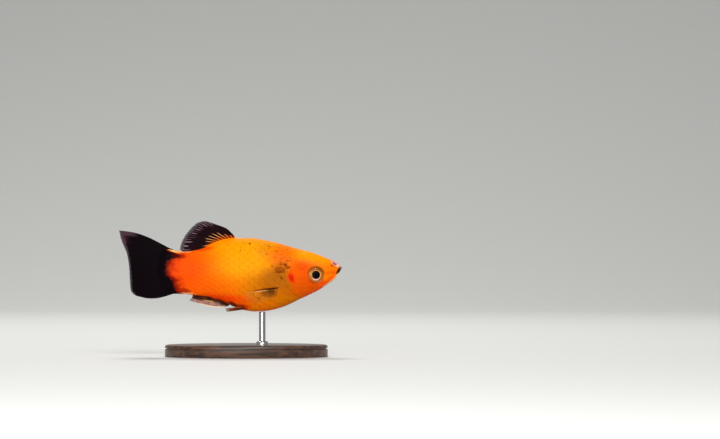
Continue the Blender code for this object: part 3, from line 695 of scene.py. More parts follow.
# Fleshy lobes at the roots of the paired fins: distance behind the snout, height, stretch along and up, rise
# and half width, in millimetres
LOBES = [(15.5, -5.5, 0.75, 1.25, 0.2, 0.95), (23.5, -9.4, 0.8, 0.6, 0.14, 0.8)]


def trunk_relief(s, height, across):
    """Fleshy sheaths and lobes at the fins' roots, and the vent."""
    upper = height > 0
    relief = np.zeros(s.shape)
    for on_back, rise, width, span in SHEATHS:
        relief += rise * MM * (upper == on_back) * swell(across, width * MM) * plateau(s, *span)
    vent_s, rise, width = VENT
    relief += rise * MM * ~upper * swell(np.hypot(across, s - vent_s * MM), width * MM)
    for lobe_s, lobe_height, along, up, rise, width in LOBES:
        away = np.hypot((s - lobe_s * MM) / along, (height - lobe_height * MM) / up)
        relief += rise * MM * swell(away, width * MM)
    return relief


def skin_points(settings):
    """Rows of points round the whole body, from the throat to the end of the sheath over the tail's rays."""
    angles = np.linspace(-math.pi / 2, math.pi / 2, settings.half_columns + 1)
    mouth, face_s, face_angle = mouth_rows(settings, angles)
    rings = body_rings(angles)
    s = np.concatenate([face_s, rings])
    ring_angle = np.concatenate([face_angle, np.tile(angles, (len(rings), 1))])
    behind = np.zeros(s.shape, bool)
    behind[FACE_ROWS + HEAD_ROWS:] = True
    plain = body_point(s, ring_angle)
    height = plain[..., 2] - AXIS_Z
    across = plain[..., 1] - swing(s)
    relief = head_relief(s, height) + gill_relief(settings, s, height, behind)
    relief += trunk_relief(s, height, across)
    relief -= settings.scale_depth * (BARE_SHARE + (1 - BARE_SHARE) * scaled_area(s, height))
    calm = fade(np.arange(len(s))[:, None], 0, CALM_ROWS)
    points = plain + body_normal(s, ring_angle) * (relief * calm)[..., None]
    sheath = np.linspace(0, 1, SHEATH_ROWS + 1)[1:, None]
    tail = np.repeat(points[-1:], SHEATH_ROWS, axis=0)
    tail_middle = swing(s[-1] + TAIL_SHEATH * sheath) + SHEATH_CURL * sheath**2
    tail[..., 0] -= TAIL_SHEATH * sheath
    tail[..., 1] = tail_middle + (points[-1, :, 1] - swing(s[-1])) * (1 - sheath) ** 0.8
    left = np.concatenate([np.array(mouth), points, tail])
    bend = np.concatenate([np.zeros((len(mouth), s.shape[1])), swing(s), tail_middle])
    right = left.copy()
    right[..., 1] = 2 * bend - left[..., 1]
    return np.concatenate([left, right[:, -2:0:-1]], axis=1)


def make_skin(settings, material):
    """The skin, in place of the solids of head, trunk, tail stock, jaws and gill covers."""
    points = skin_points(settings)
    rows, columns = points.shape[:2]
    piece = mesh_object("skin", points, ring_faces(rows, columns), material)
    # Painted shade inside the mouth, row by row.
    depth = np.zeros((rows, columns))
    depth[:len(MOUTH_SHADE_LEVELS)] = np.array(MOUTH_SHADE_LEVELS)[:, None]
    add_values(piece, inside=depth)
    r, c = np.divmod(np.arange((rows - 1) * columns), columns)
    u = np.stack([r, r + 1, r + 1, r], 1) / (rows - 1)
    v = np.stack([c, c, c + 1, c + 1], 1) / columns
    add_bake_map(piece, np.stack([u, v], -1))
    weld(piece)
    belongs(piece, "orange_skin", "head", "torso", "tail_stock", "upper_jaw", "lower_jaw",
            "gill_cover_right", "gill_cover_left")


# Markings, shared by skin and scales: (colour, s, height, reach along, reach up, softness, strength) in mm
PATCHES = [
    ("yellow", 24.0, 1.6, 9.5, 6.2, 0.75, 1.0),
    ("yellow", 17.0, 5.6, 12.0, 1.7, 0.7, 0.8),
    ("yellow", 7.6, 2.9, 5.4, 1.8, 0.6, 0.95),
    ("red_orange", 39.1, -0.6, 7.5, 7.0, 0.75, 1.0),
    ("red_orange", 30.0, -5.6, 6.5, 3.4, 0.7, 0.5),
    ("red_orange", 9.6, -0.9, 2.9, 3.0, 0.6, 0.9),
    # Ochre belly: partly its own colour and partly painted shade, darker below because the light falls from
    # above.
    ("ochre", 16.6, -5.9, 8.0, 5.2, 0.45, 0.95),
    ("ochre", 13.4, -8.0, 6.5, 3.4, 0.6, 0.7),
    # Painted light: the belly's lower edge brought back to the bright ground colour, as though lit from
    # below.
    ("orange", 20.4, -10.3, 5.6, 1.9, 0.7, 1.0),
    ("rust", 8.6, -5.0, 4.4, 2.5, 0.6, 0.75),
    ("rust", 5.4, -4.3, 2.2, 1.2, 0.6, 0.5),
    ("scarlet", 29.5, -7.7, 6.5, 1.2, 0.7, 0.8),
    ("scarlet", 24.3, -9.3, 1.8, 0.8, 0.7, 0.6),
    ("olive", 17.3, -2.6, 2.7, 2.6, 0.7, 0.7),
    ("olive", 19.0, 4.8, 1.4, 1.8, 0.6, 0.3),
    ("red_orange", 14.6, 3.1, 3.4, 2.9, 0.7, 0.6),
    ("olive", 14.9, -0.9, 2.4, 2.2, 0.7, 0.6),
    ("olive", 14.3, -3.8, 2.2, 2.2, 0.7, 0.65),
    ("rust", 9.4, -1.7, 1.8, 1.4, 0.6, 0.3),
    ("red_orange", 2.7, -0.9, 1.1, 0.6, 0.6, 0.6),
    ("red_orange", 2.6, -2.5, 1.0, 0.5, 0.6, 0.6),
    ("red_orange", 4.2, -3.7, 1.4, 0.7, 0.6, 0.8),
    ("rust", 4.2, -3.2, 1.3, 0.6, 0.6, 0.4),
]
# Small marks that keep their places: (colour, s, height, half length, half width, tilt, strength) in mm and
# degrees, where 0 is level and a tilt raises the end towards the tail
MARKS = [
    ("scarlet", 12.3, -2.4, 1.35, 0.9, 65, 0.55),
    ("gill_red", 12.35, -2.4, 0.9, 0.5, 68, 0.85),
    ("lip", 0.95, 0.85, 0.95, 0.48, 22, 0.92),
    ("lip", 2.0, 1.35, 0.75, 0.28, 20, 0.65),
    # Painted highlight on the upper lip.
    ("cream", 0.95, 0.6, 0.4, 0.22, 20, 0.6),
    ("mauve", 1.9, 1.0, 0.5, 0.3, 20, 0.5),
    ("plum", 1.95, 1.22, 0.28, 0.15, 30, 0.85),
    ("plum", 1.62, 0.95, 0.28, 0.13, 160, 0.75),
    ("mauve", 0.14, 0.3, 0.3, 0.3, 0, 0.9),
    # Painted shade in the front nostril's pit.
    ("brown", 2.5, 0.58, 0.22, 0.18, 0, 0.8),
    ("brown", 1.86, 0.24, 0.24, 0.13, 0, 0.45),
    ("bronze", 0.32, -0.42, 0.42, 0.22, 130, 0.85),
    ("bronze", 0.62, -0.2, 0.42, 0.28, 115, 0.9),
    # Painted shadow in the gape of the mouth.
    ("mouth", 0.86, -0.74, 0.58, 0.36, 112, 0.95),
    ("mouth", 1.18, -1.22, 0.34, 0.24, 108, 0.9),
    ("bronze", 1.55, -2.05, 0.6, 0.1, 130, 0.5),
    ("rust", 7.6, -3.3, 0.6, 0.35, 0, 0.7),
    ("rust", 7.5, -4.8, 0.5, 0.4, 0, 0.6),
    ("brown", 15.2, -0.3, 1.05, 0.65, 10, 0.5),
    ("brown", 15.3, -0.95, 0.8, 0.18, 0, 0.75),
    ("brown", 13.8, 0.75, 0.4, 0.32, 0, 0.7),
    ("maroon", 13.8, 0.5, 0.24, 0.16, 0, 0.5),
    ("brown", 13.0, 0.15, 0.42, 0.2, 150, 0.6),
    ("brown", 13.0, 1.85, 0.6, 0.13, 0, 0.5),
    ("brown", 14.9, 0.95, 0.3, 0.2, 0, 0.45),
    ("brown", 17.1, 0.5, 0.2, 0.3, 0, 0.45),
    ("brown", 14.7, -2.4, 0.3, 0.27, 0, 0.65),
    ("brown", 22.6, 6.0, 0.3, 0.16, 20, 0.6),
    ("brown", 20.4, -7.3, 0.5, 0.12, 0, 0.4),
    ("brown", 20.7, -8.0, 0.4, 0.1, 0, 0.4),
    # Painted highlight, a small glint below the pectoral fin.
    ("cream", 21.1, -6.5, 0.14, 0.1, 0, 0.35),
    ("brown", 16.0, 4.1, 0.22, 0.15, 20, 0.6),
    ("brown", 18.4, 3.4, 0.2, 0.15, 0, 0.6),
    ("brown", 17.8, 5.3, 0.45, 0.12, 20, 0.5),
    ("brown", 10.1, -0.2, 0.17, 0.14, 0, 0.6),
    ("brown", 8.9, 0.5, 0.17, 0.14, 0, 0.6),
    # Painted shadow of the pectoral fin on the body.
    ("umber", 18.0, -6.0, 1.6, 0.95, 10, 0.7),
    ("umber", 17.4, -5.6, 0.85, 0.55, 0, 0.9),
    ("scarlet", 34.2, 4.7, 2.4, 0.45, -5, 0.65),
    ("maroon", 26.9, -8.9, 1.0, 0.55, 20, 0.9),
    ("maroon", 25.2, -9.2, 1.9, 0.26, 0, 0.55),
    ("maroon", 29.3, -8.2, 1.5, 0.3, 25, 0.75),
    ("maroon", 39.4, 2.75, 0.9, 0.4, 0, 0.6),
    ("maroon", 39.4, -5.5, 1.8, 0.5, 5, 0.75),
    # Painted highlight along the lower edge of the tail stock.
    ("cream", 39.4, -6.28, 2.3, 0.2, 0, 0.95),
]
# The lower jaw's edge: the pale lip in the middle, and a painted highlight along each side where the edge
# catches the light
JAW_LIP_AND_LIT_EDGE = [
    ("lip", 0.52, -0.93, 0.55, 0.16, 120, 0.85),
    ("cream", 1.15, -1.62, 0.5, 0.13, 125, 0.6),
    ("cream", 1.68, -2.24, 0.7, 0.14, 133, 0.6),
    ("cream", 2.78, -3.22, 0.9, 0.13, 145, 0.55),
    ("cream", 3.95, -4.02, 1.0, 0.12, 147, 0.45),
]
JAW_MIDDLE_FADE = (1.1 * MM, 0.6 * MM)
# Where dark specks and blotches are thick, as patches without a colour
SPECKLED = [(22.5, 5.6, 5.5, 2.0, 0.4, 0.75), (15.2, 1.6, 3.3, 3.9, 0.5, 0.8), (9.5, 0.6, 1.6, 1.2, 0.4, 0.6)]
BLOTCHED = (14.3, -0.1, 2.2, 2.5, 0.5, 0.5)
SPECK_SIZE = 0.75 * MM
# Front edge of the black tail root: (height, distance behind the snout) in mm
BLACK_EDGE = [(-6.6, 40.3), (-6.1, 40.4), (-5.6, 40.9), (-4.2, 41.4), (-2.7, 42.1), (-1.6, 43.3),
              (-0.4, 43.4), (0.9, 43.1), (1.6, 42.8), (2.4, 41.9), (2.95, 40.5), (3.4, 41.0), (4.0, 42.3),
              (4.6, 43.6)]
# The box that the edge's curve is drawn in: lowest and highest height, nearest and furthest distance, in mm
CURVE_HEIGHTS = (-8.0, 6.0)
CURVE_REACH = (36.0, 46.0)
# Where each dark colour sets in and is full, in mm past that edge
CRIMSON_FADE, MAROON_FADE, BLACK_FADE = (-4.3, -0.9), (-2.0, 0.1), (-0.3, 0.4)
# Stain and lit lines over the black of the tail root, drawn last, as small marks
LIT_LINE = [
    ("maroon", 40.7, 2.95, 1.1, 0.4, 15, 0.6),
    ("yellow", 41.6, 4.4, 1.7, 0.32, 22, 0.85),
    ("cream", 42.1, 4.5, 1.3, 0.18, 26, 0.95),
    ("cream", 39.2, 4.0, 1.7, 0.2, 0, 0.4),
]


def height_curve(n, points, height):
    """Distance behind the snout, in mm, for a height in mm, by a curve through (height, distance) points."""
    low, high = CURVE_HEIGHTS
    near, far = CURVE_REACH
    places = [((h - low) / (high - low), (s - near) / (far - near)) for h, s in points]
    places = [(0.0, places[0][1])] + places + [(1.0, places[-1][1])]
    node = n.add("ShaderNodeFloatCurve")
    curve = node.mapping.curves[0]
    curve.points[0].location = places[0]
    curve.points[1].location = places[-1]
    for at in places[1:-1]:
        curve.points.new(*at)
    node.mapping.update()
    n.feed(node.inputs["Value"], n.linear(height, 1 / (high - low), -low / (high - low)))
    return n.linear(node.outputs[0], far - near, near)


def markings_group(settings):
    """The colours of the whole body by place, and where it is black, as one group for skin and scales."""
    tree = bpy.data.node_groups.new("platy_markings", "ShaderNodeTree")
    tree.interface.new_socket("Colour", in_out="OUTPUT", socket_type="NodeSocketColor")
    tree.interface.new_socket("Black", in_out="OUTPUT", socket_type="NodeSocketFloat")
    n = Nodes(tree)
    place = n.place()
    x, y, z = n.add("ShaderNodeSeparateXYZ", {0: place}).outputs
    still_behind = n.linear(x, -1 / MM, SNOUT_X / MM)
    still_height = n.linear(z, 1 / MM, -AXIS_Z / MM)
    waver = n.wander(2.6 * MM, 2.4, 3.0, place)
    drift = n.wander(3.7 * MM, -2.0, 2.0, place)
    spot = n.flat(n.maths("ADD", still_behind, waver), n.maths("ADD", still_height, drift))
    shaken = n.flat(n.maths("ADD", still_behind, n.wander(0.45 * MM, 0.36, 3.0, place)),
                    n.maths("ADD", still_height, n.wander(0.55 * MM, -0.36, 3.0, place)))

    def patch(s, up, along, tall, softness, strength):
        """A soft oval with a wavering outline."""
        moved = n.vector("SUBTRACT", spot, (s, up, 0))
        away = n.vector("LENGTH", n.vector("MULTIPLY", moved, (1 / along, 1 / tall, 0)))
        return n.fade(away, 1 + softness, 1 - softness, strength)

    def mark(s, up, half_length, half_width, tilt, strength):
        """A small spot that wavers only a little, as a turned oval."""
        turn = math.radians(tilt)
        moved = n.vector("SUBTRACT", shaken, (s, up, 0))
        squares = []
        for axis in ((math.cos(turn) / half_length, math.sin(turn) / half_length, 0),
                     (-math.sin(turn) / half_width, math.cos(turn) / half_width, 0)):
            along = n.vector("DOT_PRODUCT", moved, axis)
            squares.append(n.times(along, along))
        return n.fade(n.maths("ADD", *squares), 2.4, 0.3, strength)

    result = settings.orange
    for name, *shape in PATCHES:
        result = n.mix(patch(*shape), result, getattr(settings, name))
    grains = n.cells(SPECK_SIZE, "Distance", place)
    chosen = n.add("ShaderNodeSeparateColor", {0: n.cells(SPECK_SIZE, "Color", place)}).outputs[0]
    speck = n.times(n.fade(grains, 0.36, 0.14), n.fade(chosen, 0.42, 0.46))
    speckled = n.most(*(patch(*shape) for shape in SPECKLED))
    result = n.mix(n.times(speck, speckled, 0.75), result, settings.brown)
    blotch = n.fade(n.noise(0.85 * MM, 4.0, place), 0.47, 0.66)
    result = n.mix(n.times(blotch, patch(*BLOTCHED)), result, settings.brown)
    # Painted shade on the skin over the top of the eye.
    eye_away = n.vector("DISTANCE", shaken, (EYE_S / MM, EYE_HEIGHT / MM, 0))
    eye_top_shade = n.times(n.fade(eye_away, 2.5, 2.0, 0.8), n.fade(still_height, -2.0, -0.9))
    result = n.mix(eye_top_shade, result, settings.orbit)
    for name, *shape in MARKS:
        result = n.mix(mark(*shape), result, getattr(settings, name))
    # The jaw's pale lip in the middle, and painted highlights along the edge beside it.
    middle = n.fade(n.maths("ABSOLUTE", y), *JAW_MIDDLE_FADE)
    for name, *shape in JAW_LIP_AND_LIT_EDGE:
        across = middle if name == "lip" else n.opposite(middle)
        result = n.mix(n.times(mark(*shape), across), result, getattr(settings, name))
    edge = height_curve(n, BLACK_EDGE, still_height)
    ragged = n.maths("ADD", n.linear(waver, 0.25, still_behind), n.wander(0.8 * MM, 1.6, 3.0, place))
    past = n.maths("SUBTRACT", ragged, edge)
    red = n.linear(n.fade(n.noise(1.5 * MM, 3.0, place), 0.4, 0.62), 0.5, 0.45)
    result = n.mix(n.times(n.fade(past, *CRIMSON_FADE), red), result, settings.crimson)
    result = n.mix(n.fade(past, *MAROON_FADE), result, settings.maroon)
    black = n.fade(past, *BLACK_FADE)
    result = n.mix(black, result, settings.black)
    for name, *shape in LIT_LINE:
        result = n.mix(mark(*shape), result, getattr(settings, name))
    n.add("NodeGroupOutput", {0: result, 1: black})
    return tree


MOIST = {"Subsurface_Radius": (1.0, 0.35, 0.1), "Coat_Weight": 0.015, "Coat_Roughness": 0.12,
         "Specular_IOR_Level": 0.03, "Sheen_Weight": 0.12, "Sheen_Roughness": 0.3,
         "Sheen_Tint": (1.0, 0.75, 0.5)}
MOTTLE_TINT = (0.9, 0.8, 0.8)
RIM_TINT = (0.72, 0.5, 0.4)


def moist_finish(name, markings, lump, roughness, glow, depth):
    """A moist finish that is duller over the black, and the colour of the markings for it."""
    f = Finish(name, Subsurface_Weight=glow, Subsurface_Scale=depth, **MOIST)
    marks, black = f.add("ShaderNodeGroup", node_tree=markings).outputs
    f.set(Roughness=f.linear(black, 0.4, f.linear(f.noise(lump), 0.3, roughness)))
    return f, marks


def skin_material(settings, markings):
    """Moist skin: the markings, a fine grain, and painted shade inside the mouth."""
    f, marks = moist_finish("moist_skin", markings, 0.5 * MM, 0.3, glow=0.12, depth=0.5 * MM)
    mottle = f.fade(f.noise(0.9 * MM, 3.0), 0.3, 0.7)
    tone = f.shaded(f.times(mottle, 0.5), marks, MOTTLE_TINT)
    grain = f.maths("ADD", f.cells(0.26 * MM), f.times(f.noise(0.7 * MM, 3.0), 1.4))
    f.set(Base_Color=f.mix(f.value("inside"), tone, settings.mouth), Normal=f.bump(grain, 0.02 * MM, 0.6))
    return f.material


# Scales

# Places along the body where its girth is measured, the samples of each ring, and the steps it is cut into
GIRTH_STATIONS = np.linspace(6, 44, 90) * MM
GIRTH_ANGLES, GIRTH_SHARES = 241, 101
# Where the first column of scales stands, the most columns there can be, and the bare strip before the tail
FIRST_COLUMN, MOST_COLUMNS, TAIL_CLEAR = 8.2 * MM, 60, 0.75 * MM
# The bare lobe at the pectoral fin's root: distance behind the snout, height, and half its length and depth
BARE_LOBE = (15.6 * MM, -5.6 * MM, 1.1 * MM, 1.5 * MM)
# Spread of the differences between scales, half a scale's width over the step between rows, its skew, how
# deep its root lies, how far its rim rises, and how much further one side of it does
SIZE_SPREAD, SCALE_WIDTH, SCALE_SKEW = 0.05, 1.16, 0.24
SCALE_SINK, SCALE_RISE, SCALE_LEAN = 0.046 * MM, 0.042 * MM, 0.004 * MM
# Each scale has its own small square of the bake map
MAP_LENGTH, MAP_PATCH = 50 * MM, 0.0015


def girth_table():
    """Ring angles at equal steps of girth, from the belly to the back, for each station down the body."""
    angles = np.linspace(-math.pi / 2, math.pi / 2, GIRTH_ANGLES)
    run = run_along(body_point(GIRTH_STATIONS, angles[:, None])).T
    shares = np.linspace(0, 1, GIRTH_SHARES)
    return np.array([np.interp(shares, row / row[-1], angles) for row in run])


def scale_places(settings, table):
    """Where scales sit, as distance behind the snout and place round the body: 0 belly, 1 back, 2 belly."""
    lobe_s, lobe_height, lobe_length, lobe_depth = BARE_LOBE
    shares = np.linspace(0, 1, GIRTH_SHARES)
    places = []
    for column in range(MOST_COLUMNS):
        s = FIRST_COLUMN + settings.pitch * column
        angles = table[np.searchsorted(GIRTH_STATIONS, s) - 1]
        for row in range(settings.around):
            g = (row + 0.5 * (column % 2)) * 2 / settings.around
            angle = np.interp(g if g <= 1 else 2 - g, shares, angles)
            height = float(height_at(s, math.sin(angle)))
            end = float(tail_root_line(height)) - TAIL_CLEAR
            lobe = math.hypot((s - lobe_s) / lobe_length, (height - lobe_height) / lobe_depth)
            if scale_front(height) < s < end and lobe > 1:
                places.append((s, g))
    return places


def make_scales(settings, skin, material):
    """Thin overlapping plates, each bent over the body, in one piece for each side."""
    table = girth_table()
    random = np.random.default_rng(settings.seed)
    a, b = np.meshgrid(np.linspace(-1, 1, settings.grid), np.linspace(0, 1, settings.grid))
    disc_a, disc_b = a * np.sqrt(1 - b * b / 2), b * np.sqrt(1 - a * a / 2)
    sides = {"left": [], "right": []}
    for s0, g0 in scale_places(settings, table):
        size, turn, lift = 1 + SIZE_SPREAD * random.standard_normal(3)
        plate_s = s0 + settings.pitch * settings.overlap * size * (disc_b - 0.5)
        width = SCALE_WIDTH / settings.around * size
        g = g0 + width * (disc_a + SCALE_SKEW * (turn - 1) * disc_b)
        point, normal = scale_surface(plate_s, g, table)
        rise = SCALE_RISE * disc_b**0.7 * lift * (1 - 0.15 * disc_a**2) + SCALE_LEAN * disc_a
        rise = rise - SCALE_SINK - skin.scale_depth * 0.55
        top = point + normal * rise[..., None]
        patch = np.stack([s0 / MAP_LENGTH + MAP_PATCH * disc_b, g0 / 2 + MAP_PATCH * disc_a], -1)
        sides["left" if g0 % 2 <= 1 else "right"].append((top, top - normal * settings.thickness, patch))
    for name, plates in sides.items():
        scale_side("scales_" + name, plates, disc_b, material)


def scale_surface(s, g, table):
    """Points and outward normals of the body by distance behind the snout and place round the body."""
    g = g % 2
    right = g > 1
    row = (s - GIRTH_STATIONS[0]) / (GIRTH_STATIONS[1] - GIRTH_STATIONS[0])
    row = np.clip(row, 0, len(GIRTH_STATIONS) - 1.001)
    share = np.where(right, 2 - g, g) * (GIRTH_SHARES - 1)
    i, j = row.astype(int), np.clip(share.astype(int), 0, GIRTH_SHARES - 2)
    p, q = row - i, share - j
    angle = ((table[i, j] * (1 - q) + table[i, j + 1] * q) * (1 - p)
             + (table[i + 1, j] * (1 - q) + table[i + 1, j + 1] * q) * p)
    point, normal = body_point(s, angle), body_normal(s, angle)
    point[..., 1] = np.where(right, 2 * swing(s) - point[..., 1], point[..., 1])
    normal[..., 1] = np.where(right, -normal[..., 1], normal[..., 1])
    return point, normal


def scale_side(name, plates, rim, material):
    """Joins the plates of one side, with the bake map and the rim values."""
    count = rim.shape[0]
    step = 2 * rim.size
    one = slab_faces(count, count)
    faces = [tuple(i + k * step for i in face) for k in range(len(plates)) for face in one]
    points = np.array([(top, under) for top, under, _ in plates])
    piece = mesh_object(name, points, faces, material)
    add_values(piece, rim=np.tile(rim.ravel(), 2 * len(plates)))
    places = np.array([(patch, patch) for *_, patch in plates]).reshape(-1, 2)
    corners = np.empty(len(piece.data.loops), np.int32)
    piece.data.loops.foreach_get("vertex_index", corners)
    add_bake_map(piece, places[corners])
    belongs(piece, "orange_skin")


def scale_material(markings):
    """Scales: the markings again, a little darker along each rim."""
    f, marks = moist_finish("scales", markings, 0.6 * MM, 0.34, glow=0.1, depth=0.4 * MM)
    near_rim = f.fade(f.value("rim"), 0.75, 1.0)
    f.set(Base_Color=f.shaded(f.times(near_rim, 0.03), marks, RIM_TINT))
    f.set(Normal=f.bump(f.noise(0.25 * MM, 3.0), 0.01 * MM, 0.5))
    return f.material


# Eyes

EYE_SEGMENTS = 96
EYE_WELD = 2e-6
POLE = 1e-6
# Half sections of the eye as (radius, height), with every height over the bulge. The lens and iris have their
# radius over the pupil's, and the ball and cornea over the eyeball's.
LENS_TOP = 0.72
LENS_AND_IRIS = [(0.35, 0.68), (0.7, 0.5), (0.92, 0.26), (0.985, 0.12), (1.0, 0.16), (1.04, 0.24),
                 (1.12, 0.27), (1.25, 0.24), (1.45, 0.14), (1.65, -0.02), (1.82, -0.22)]
BALL = [(0.985, -0.5), (1.0, -1.3), (0.93, -2.4), (0.6, -3.2)]
BALL_BOTTOM = -3.4
CORNEA = [(0.2, 0.985), (0.4, 0.92), (0.6, 0.78), (0.78, 0.52), (0.91, 0.14), (0.98, -0.3), (1.0, -0.8)]
CORNEA_THICKNESS = 0.03 * MM
RUSTY = (0.5, 0.12, 0.02)
RED_BORDER = (0.55, 0.1, 0.005)


def turned_piece(name, profile, side, material):
    """Turns (radius, reach outwards) pairs round the eye's axis, which leans forwards by the yaw."""
    centre = body_point(EYE_S, angle_at(EYE_S, EYE_HEIGHT))
    centre[1] *= side
    out = np.array([math.sin(EYE_YAW), side * math.cos(EYE_YAW), 0.0])
    ahead = np.array([math.cos(EYE_YAW), -side * math.sin(EYE_YAW), 0.0])
    up = np.array([0.0, 0.0, 1.0])
    turns = np.linspace(0, 2 * math.pi, EYE_SEGMENTS, endpoint=False)
    circle = np.cos(turns)[:, None] * ahead + np.sin(turns)[:, None] * up
    points = np.array([centre + radius * circle + reach * out for radius, reach in profile])
    faces = ring_faces(len(profile), EYE_SEGMENTS)
    if side > 0:
        faces = [face[::-1] for face in faces]
    return mesh_object(name, points, faces, material)


def make_eye(settings, word, side, finishes):
    """An eyeball with a sunk iris and a domed lens in the pupil, under a clear cornea."""
    radius, pupil, bulge = settings.radius, settings.pupil, settings.bulge
    profile = [(POLE, LENS_TOP * bulge)] + [(q * pupil, h * bulge) for q, h in LENS_AND_IRIS]
    profile += [(q * radius, h * bulge) for q, h in BALL] + [(POLE, BALL_BOTTOM * bulge)]
    eye = turned_piece("eyeball_" + word, profile, side, finishes[0])
    add_values(eye, radius=np.repeat([q / radius for q, _ in profile], EYE_SEGMENTS))
    weld(eye, EYE_WELD)
    belongs(eye, "eye", "eye_" + word)
    dome = [(POLE, bulge)] + [(q * radius, h * bulge) for q, h in CORNEA]
    dome += [(q * 0.985, h - CORNEA_THICKNESS) for q, h in dome[::-1]]
    cornea = turned_piece("cornea_" + word, dome, side, finishes[1])
    weld(cornea, EYE_WELD)
    belongs(cornea, "eye")


def iris_material(settings):
    """Iris by distance from the pupil: black, a bright ring that is whiter below, then dull gold."""
    f = Finish("iris", Roughness=0.4, Specular_IOR_Level=0.04)
    radius = f.value("radius")
    edge = settings.pupil / settings.radius
    x, _, z = f.add("ShaderNodeSeparateXYZ", {0: f.place()}).outputs
    level = f.linear(z, 1 / MM, -(AXIS_Z + EYE_HEIGHT) / MM)
    off_middle = f.maths("ABSOLUTE", f.linear(x, 1 / MM, 0.12 - (SNOUT_X - EYE_S) / MM))
    streaks = f.fade(f.noise(0.16 * MM, 4.0), 0.3, 0.7)
    below = f.times(f.fade(level, -0.86, -1.0), f.fade(off_middle, 0.92, 0.6))
    ring = f.mix(below, settings.ring, settings.white)
    # Painted shade: the outer ring darker towards its top.
    outer = f.mix(f.fade(level, 0.5, 1.4), settings.gold, settings.shade)
    outer = f.mix(f.fade(level, -0.9, -1.5, 0.5), outer, RUSTY)
    outer = f.mix(f.times(streaks, 0.25), outer, dimmed(settings.ring, 0.6))
    outer = f.mix(f.times(f.fade(radius, 0.78, 0.95), f.fade(level, 0.2, -0.8)), outer, RED_BORDER)
    border = f.maths("SUBTRACT", radius, f.times(below, 0.055))
    tone = f.mix(f.fade(border, edge + 0.055, edge + 0.12), ring, outer)
    tone = f.mix(f.fade(radius, edge + 0.012, edge - 0.012), tone, settings.black)
    f.set(Base_Color=tone, Metallic=f.fade(radius, edge, edge + 0.05, 0.35))
    f.set(Normal=f.bump(streaks, 0.01 * MM, 0.5))
    return f.material


def cornea_material():
    """Clear: what lies behind shows, with a gloss that grows towards the rim."""
    f = Finish("cornea")
    clear = f.add("ShaderNodeBsdfTransparent").outputs[0]
    gloss = f.add("ShaderNodeBsdfGlossy", {"Roughness": 0.03}).outputs[0]
    share = f.times(f.add("ShaderNodeFresnel", {"IOR": 1.15}).outputs[0], 0.6)
    both = f.add("ShaderNodeMixShader", {0: share, 1: clear, 2: gloss}).outputs[0]
    f.feed(f.tree.nodes["Material Output"].inputs["Surface"], both)
    f.tree.nodes.remove(f.shader)
    return f.material


# Fins

DORSAL_FROM, DORSAL_TO, DORSAL_RAYS = 26.3 * MM, 33.1 * MM, 10
DORSAL_FIRST_ANGLE, DORSAL_LAST_ANGLE, DORSAL_CURL = (math.radians(a) for a in (53, -1, -16))
DORSAL_SAG = 0.55 * MM
DORSAL_LENGTH = smooth_curve([(0, 3.0), (0.11, 5.0), (0.22, 7.45), (0.35, 8.1), (0.6, 8.0), (0.8, 7.65),
                              (1, 7.0)], 1, MM)
ROOT_GAP = 0.3 * MM
ROOT_SINK = 0.6 * MM
LYING_GAP = -0.15 * MM

TAIL_RAYS = 15
TAIL_TIPS_BACK = smooth_curve([(0, 55.0), (0.1, 54.4), (0.3, 52.9), (0.5, 52.45), (0.7, 52.3), (0.85, 52.05),
                               (0.94, 50.9), (1, 48.7)], 1, MM)
TAIL_TIPS_HEIGHT = smooth_curve([(0, 9.2), (0.1, 6.9), (0.3, 3.0), (0.5, -0.25), (0.7, -3.3), (0.85, -5.6),
                                 (0.94, -6.8), (1, -7.4)], 1, MM)
TAIL_TOP_BULGE, TAIL_BOTTOM_BULGE, TAIL_BULGE_SKEW, TAIL_CURL = 0.92 * MM, 0.5 * MM, 1.15, 1.6 * MM
TAIL_ROOT_TOP, TAIL_ROOT_BOTTOM = 4.8 * MM, -6.35 * MM

ANAL_FROM, ANAL_TO, ANAL_RAYS = 27.8 * MM, 31.5 * MM, 9
ANAL_FIRST_TIP, ANAL_LAST_TIP, ANAL_BULGE = (37.6, -7.95), (36.6, -7.1), 0.85 * MM

PECTORAL_ROOTS, PECTORAL_RAYS = ((15.4, -4.5), (16.1, -6.6)), 11
PECTORAL_BACK = smooth_curve([(0, 23.1), (0.15, 23.4), (0.4, 23.0), (0.7, 21.7), (1, 19.7)], 1, MM)
PECTORAL_DOWN = smooth_curve([(0, -5.5), (0.15, -6.1), (0.4, -7.2), (0.7, -8.3), (1, -8.7)], 1, MM)
PECTORAL_ANGLE, PECTORAL_BEND = math.radians(24), 0.6 * MM

PELVIC_ROOTS, PELVIC_TIPS, PELVIC_RAYS = ((23.2, -9.5), (24.1, -9.1)), ((28.0, -10.75), (28.3, -9.9)), 6
PELVIC_TIP_SIDE, PELVIC_BEND = 1.7 * MM, 0.5 * MM

# Points this far below the root, as a share of the ray, are sunk all the way
SUNK_BELOW = 0.06
# Where along itself each ray forks, and each fork again
FORK_AT, SECOND_FORK_AT = 0.5, 0.76
# In steps between rays: how far these branches have spread at the tips, a ray's half width at its root and
# how much of that is lost towards its tip, and the half width of the line down its middle
FORK_SPREAD, SECOND_FORK_SPREAD, RAY_WIDTH, RAY_TAPER, LINE_WIDTH = 0.2, 0.085, 0.15, 0.075, 0.13
# Share of a fin's thickness that is gone at its tips
FIN_THINNING = 0.6


def between(pair, u):
    """Blends two (distance, height) points given in millimetres."""
    return tuple((a + (b - a) * u) * MM for a, b in zip(*pair))


def fin_point(s, side, height):
    """Points in the part's frame, to the side of the body's middle, which the tail's stroke carries."""
    return np.stack([SNOUT_X - s, side + swing(s), AXIS_Z + height], -1)


def sink(v):
    """How deep the rows below a fin's root lie in the body."""
    return ROOT_SINK * np.clip(-v / SUNK_BELOW, 0, 1)


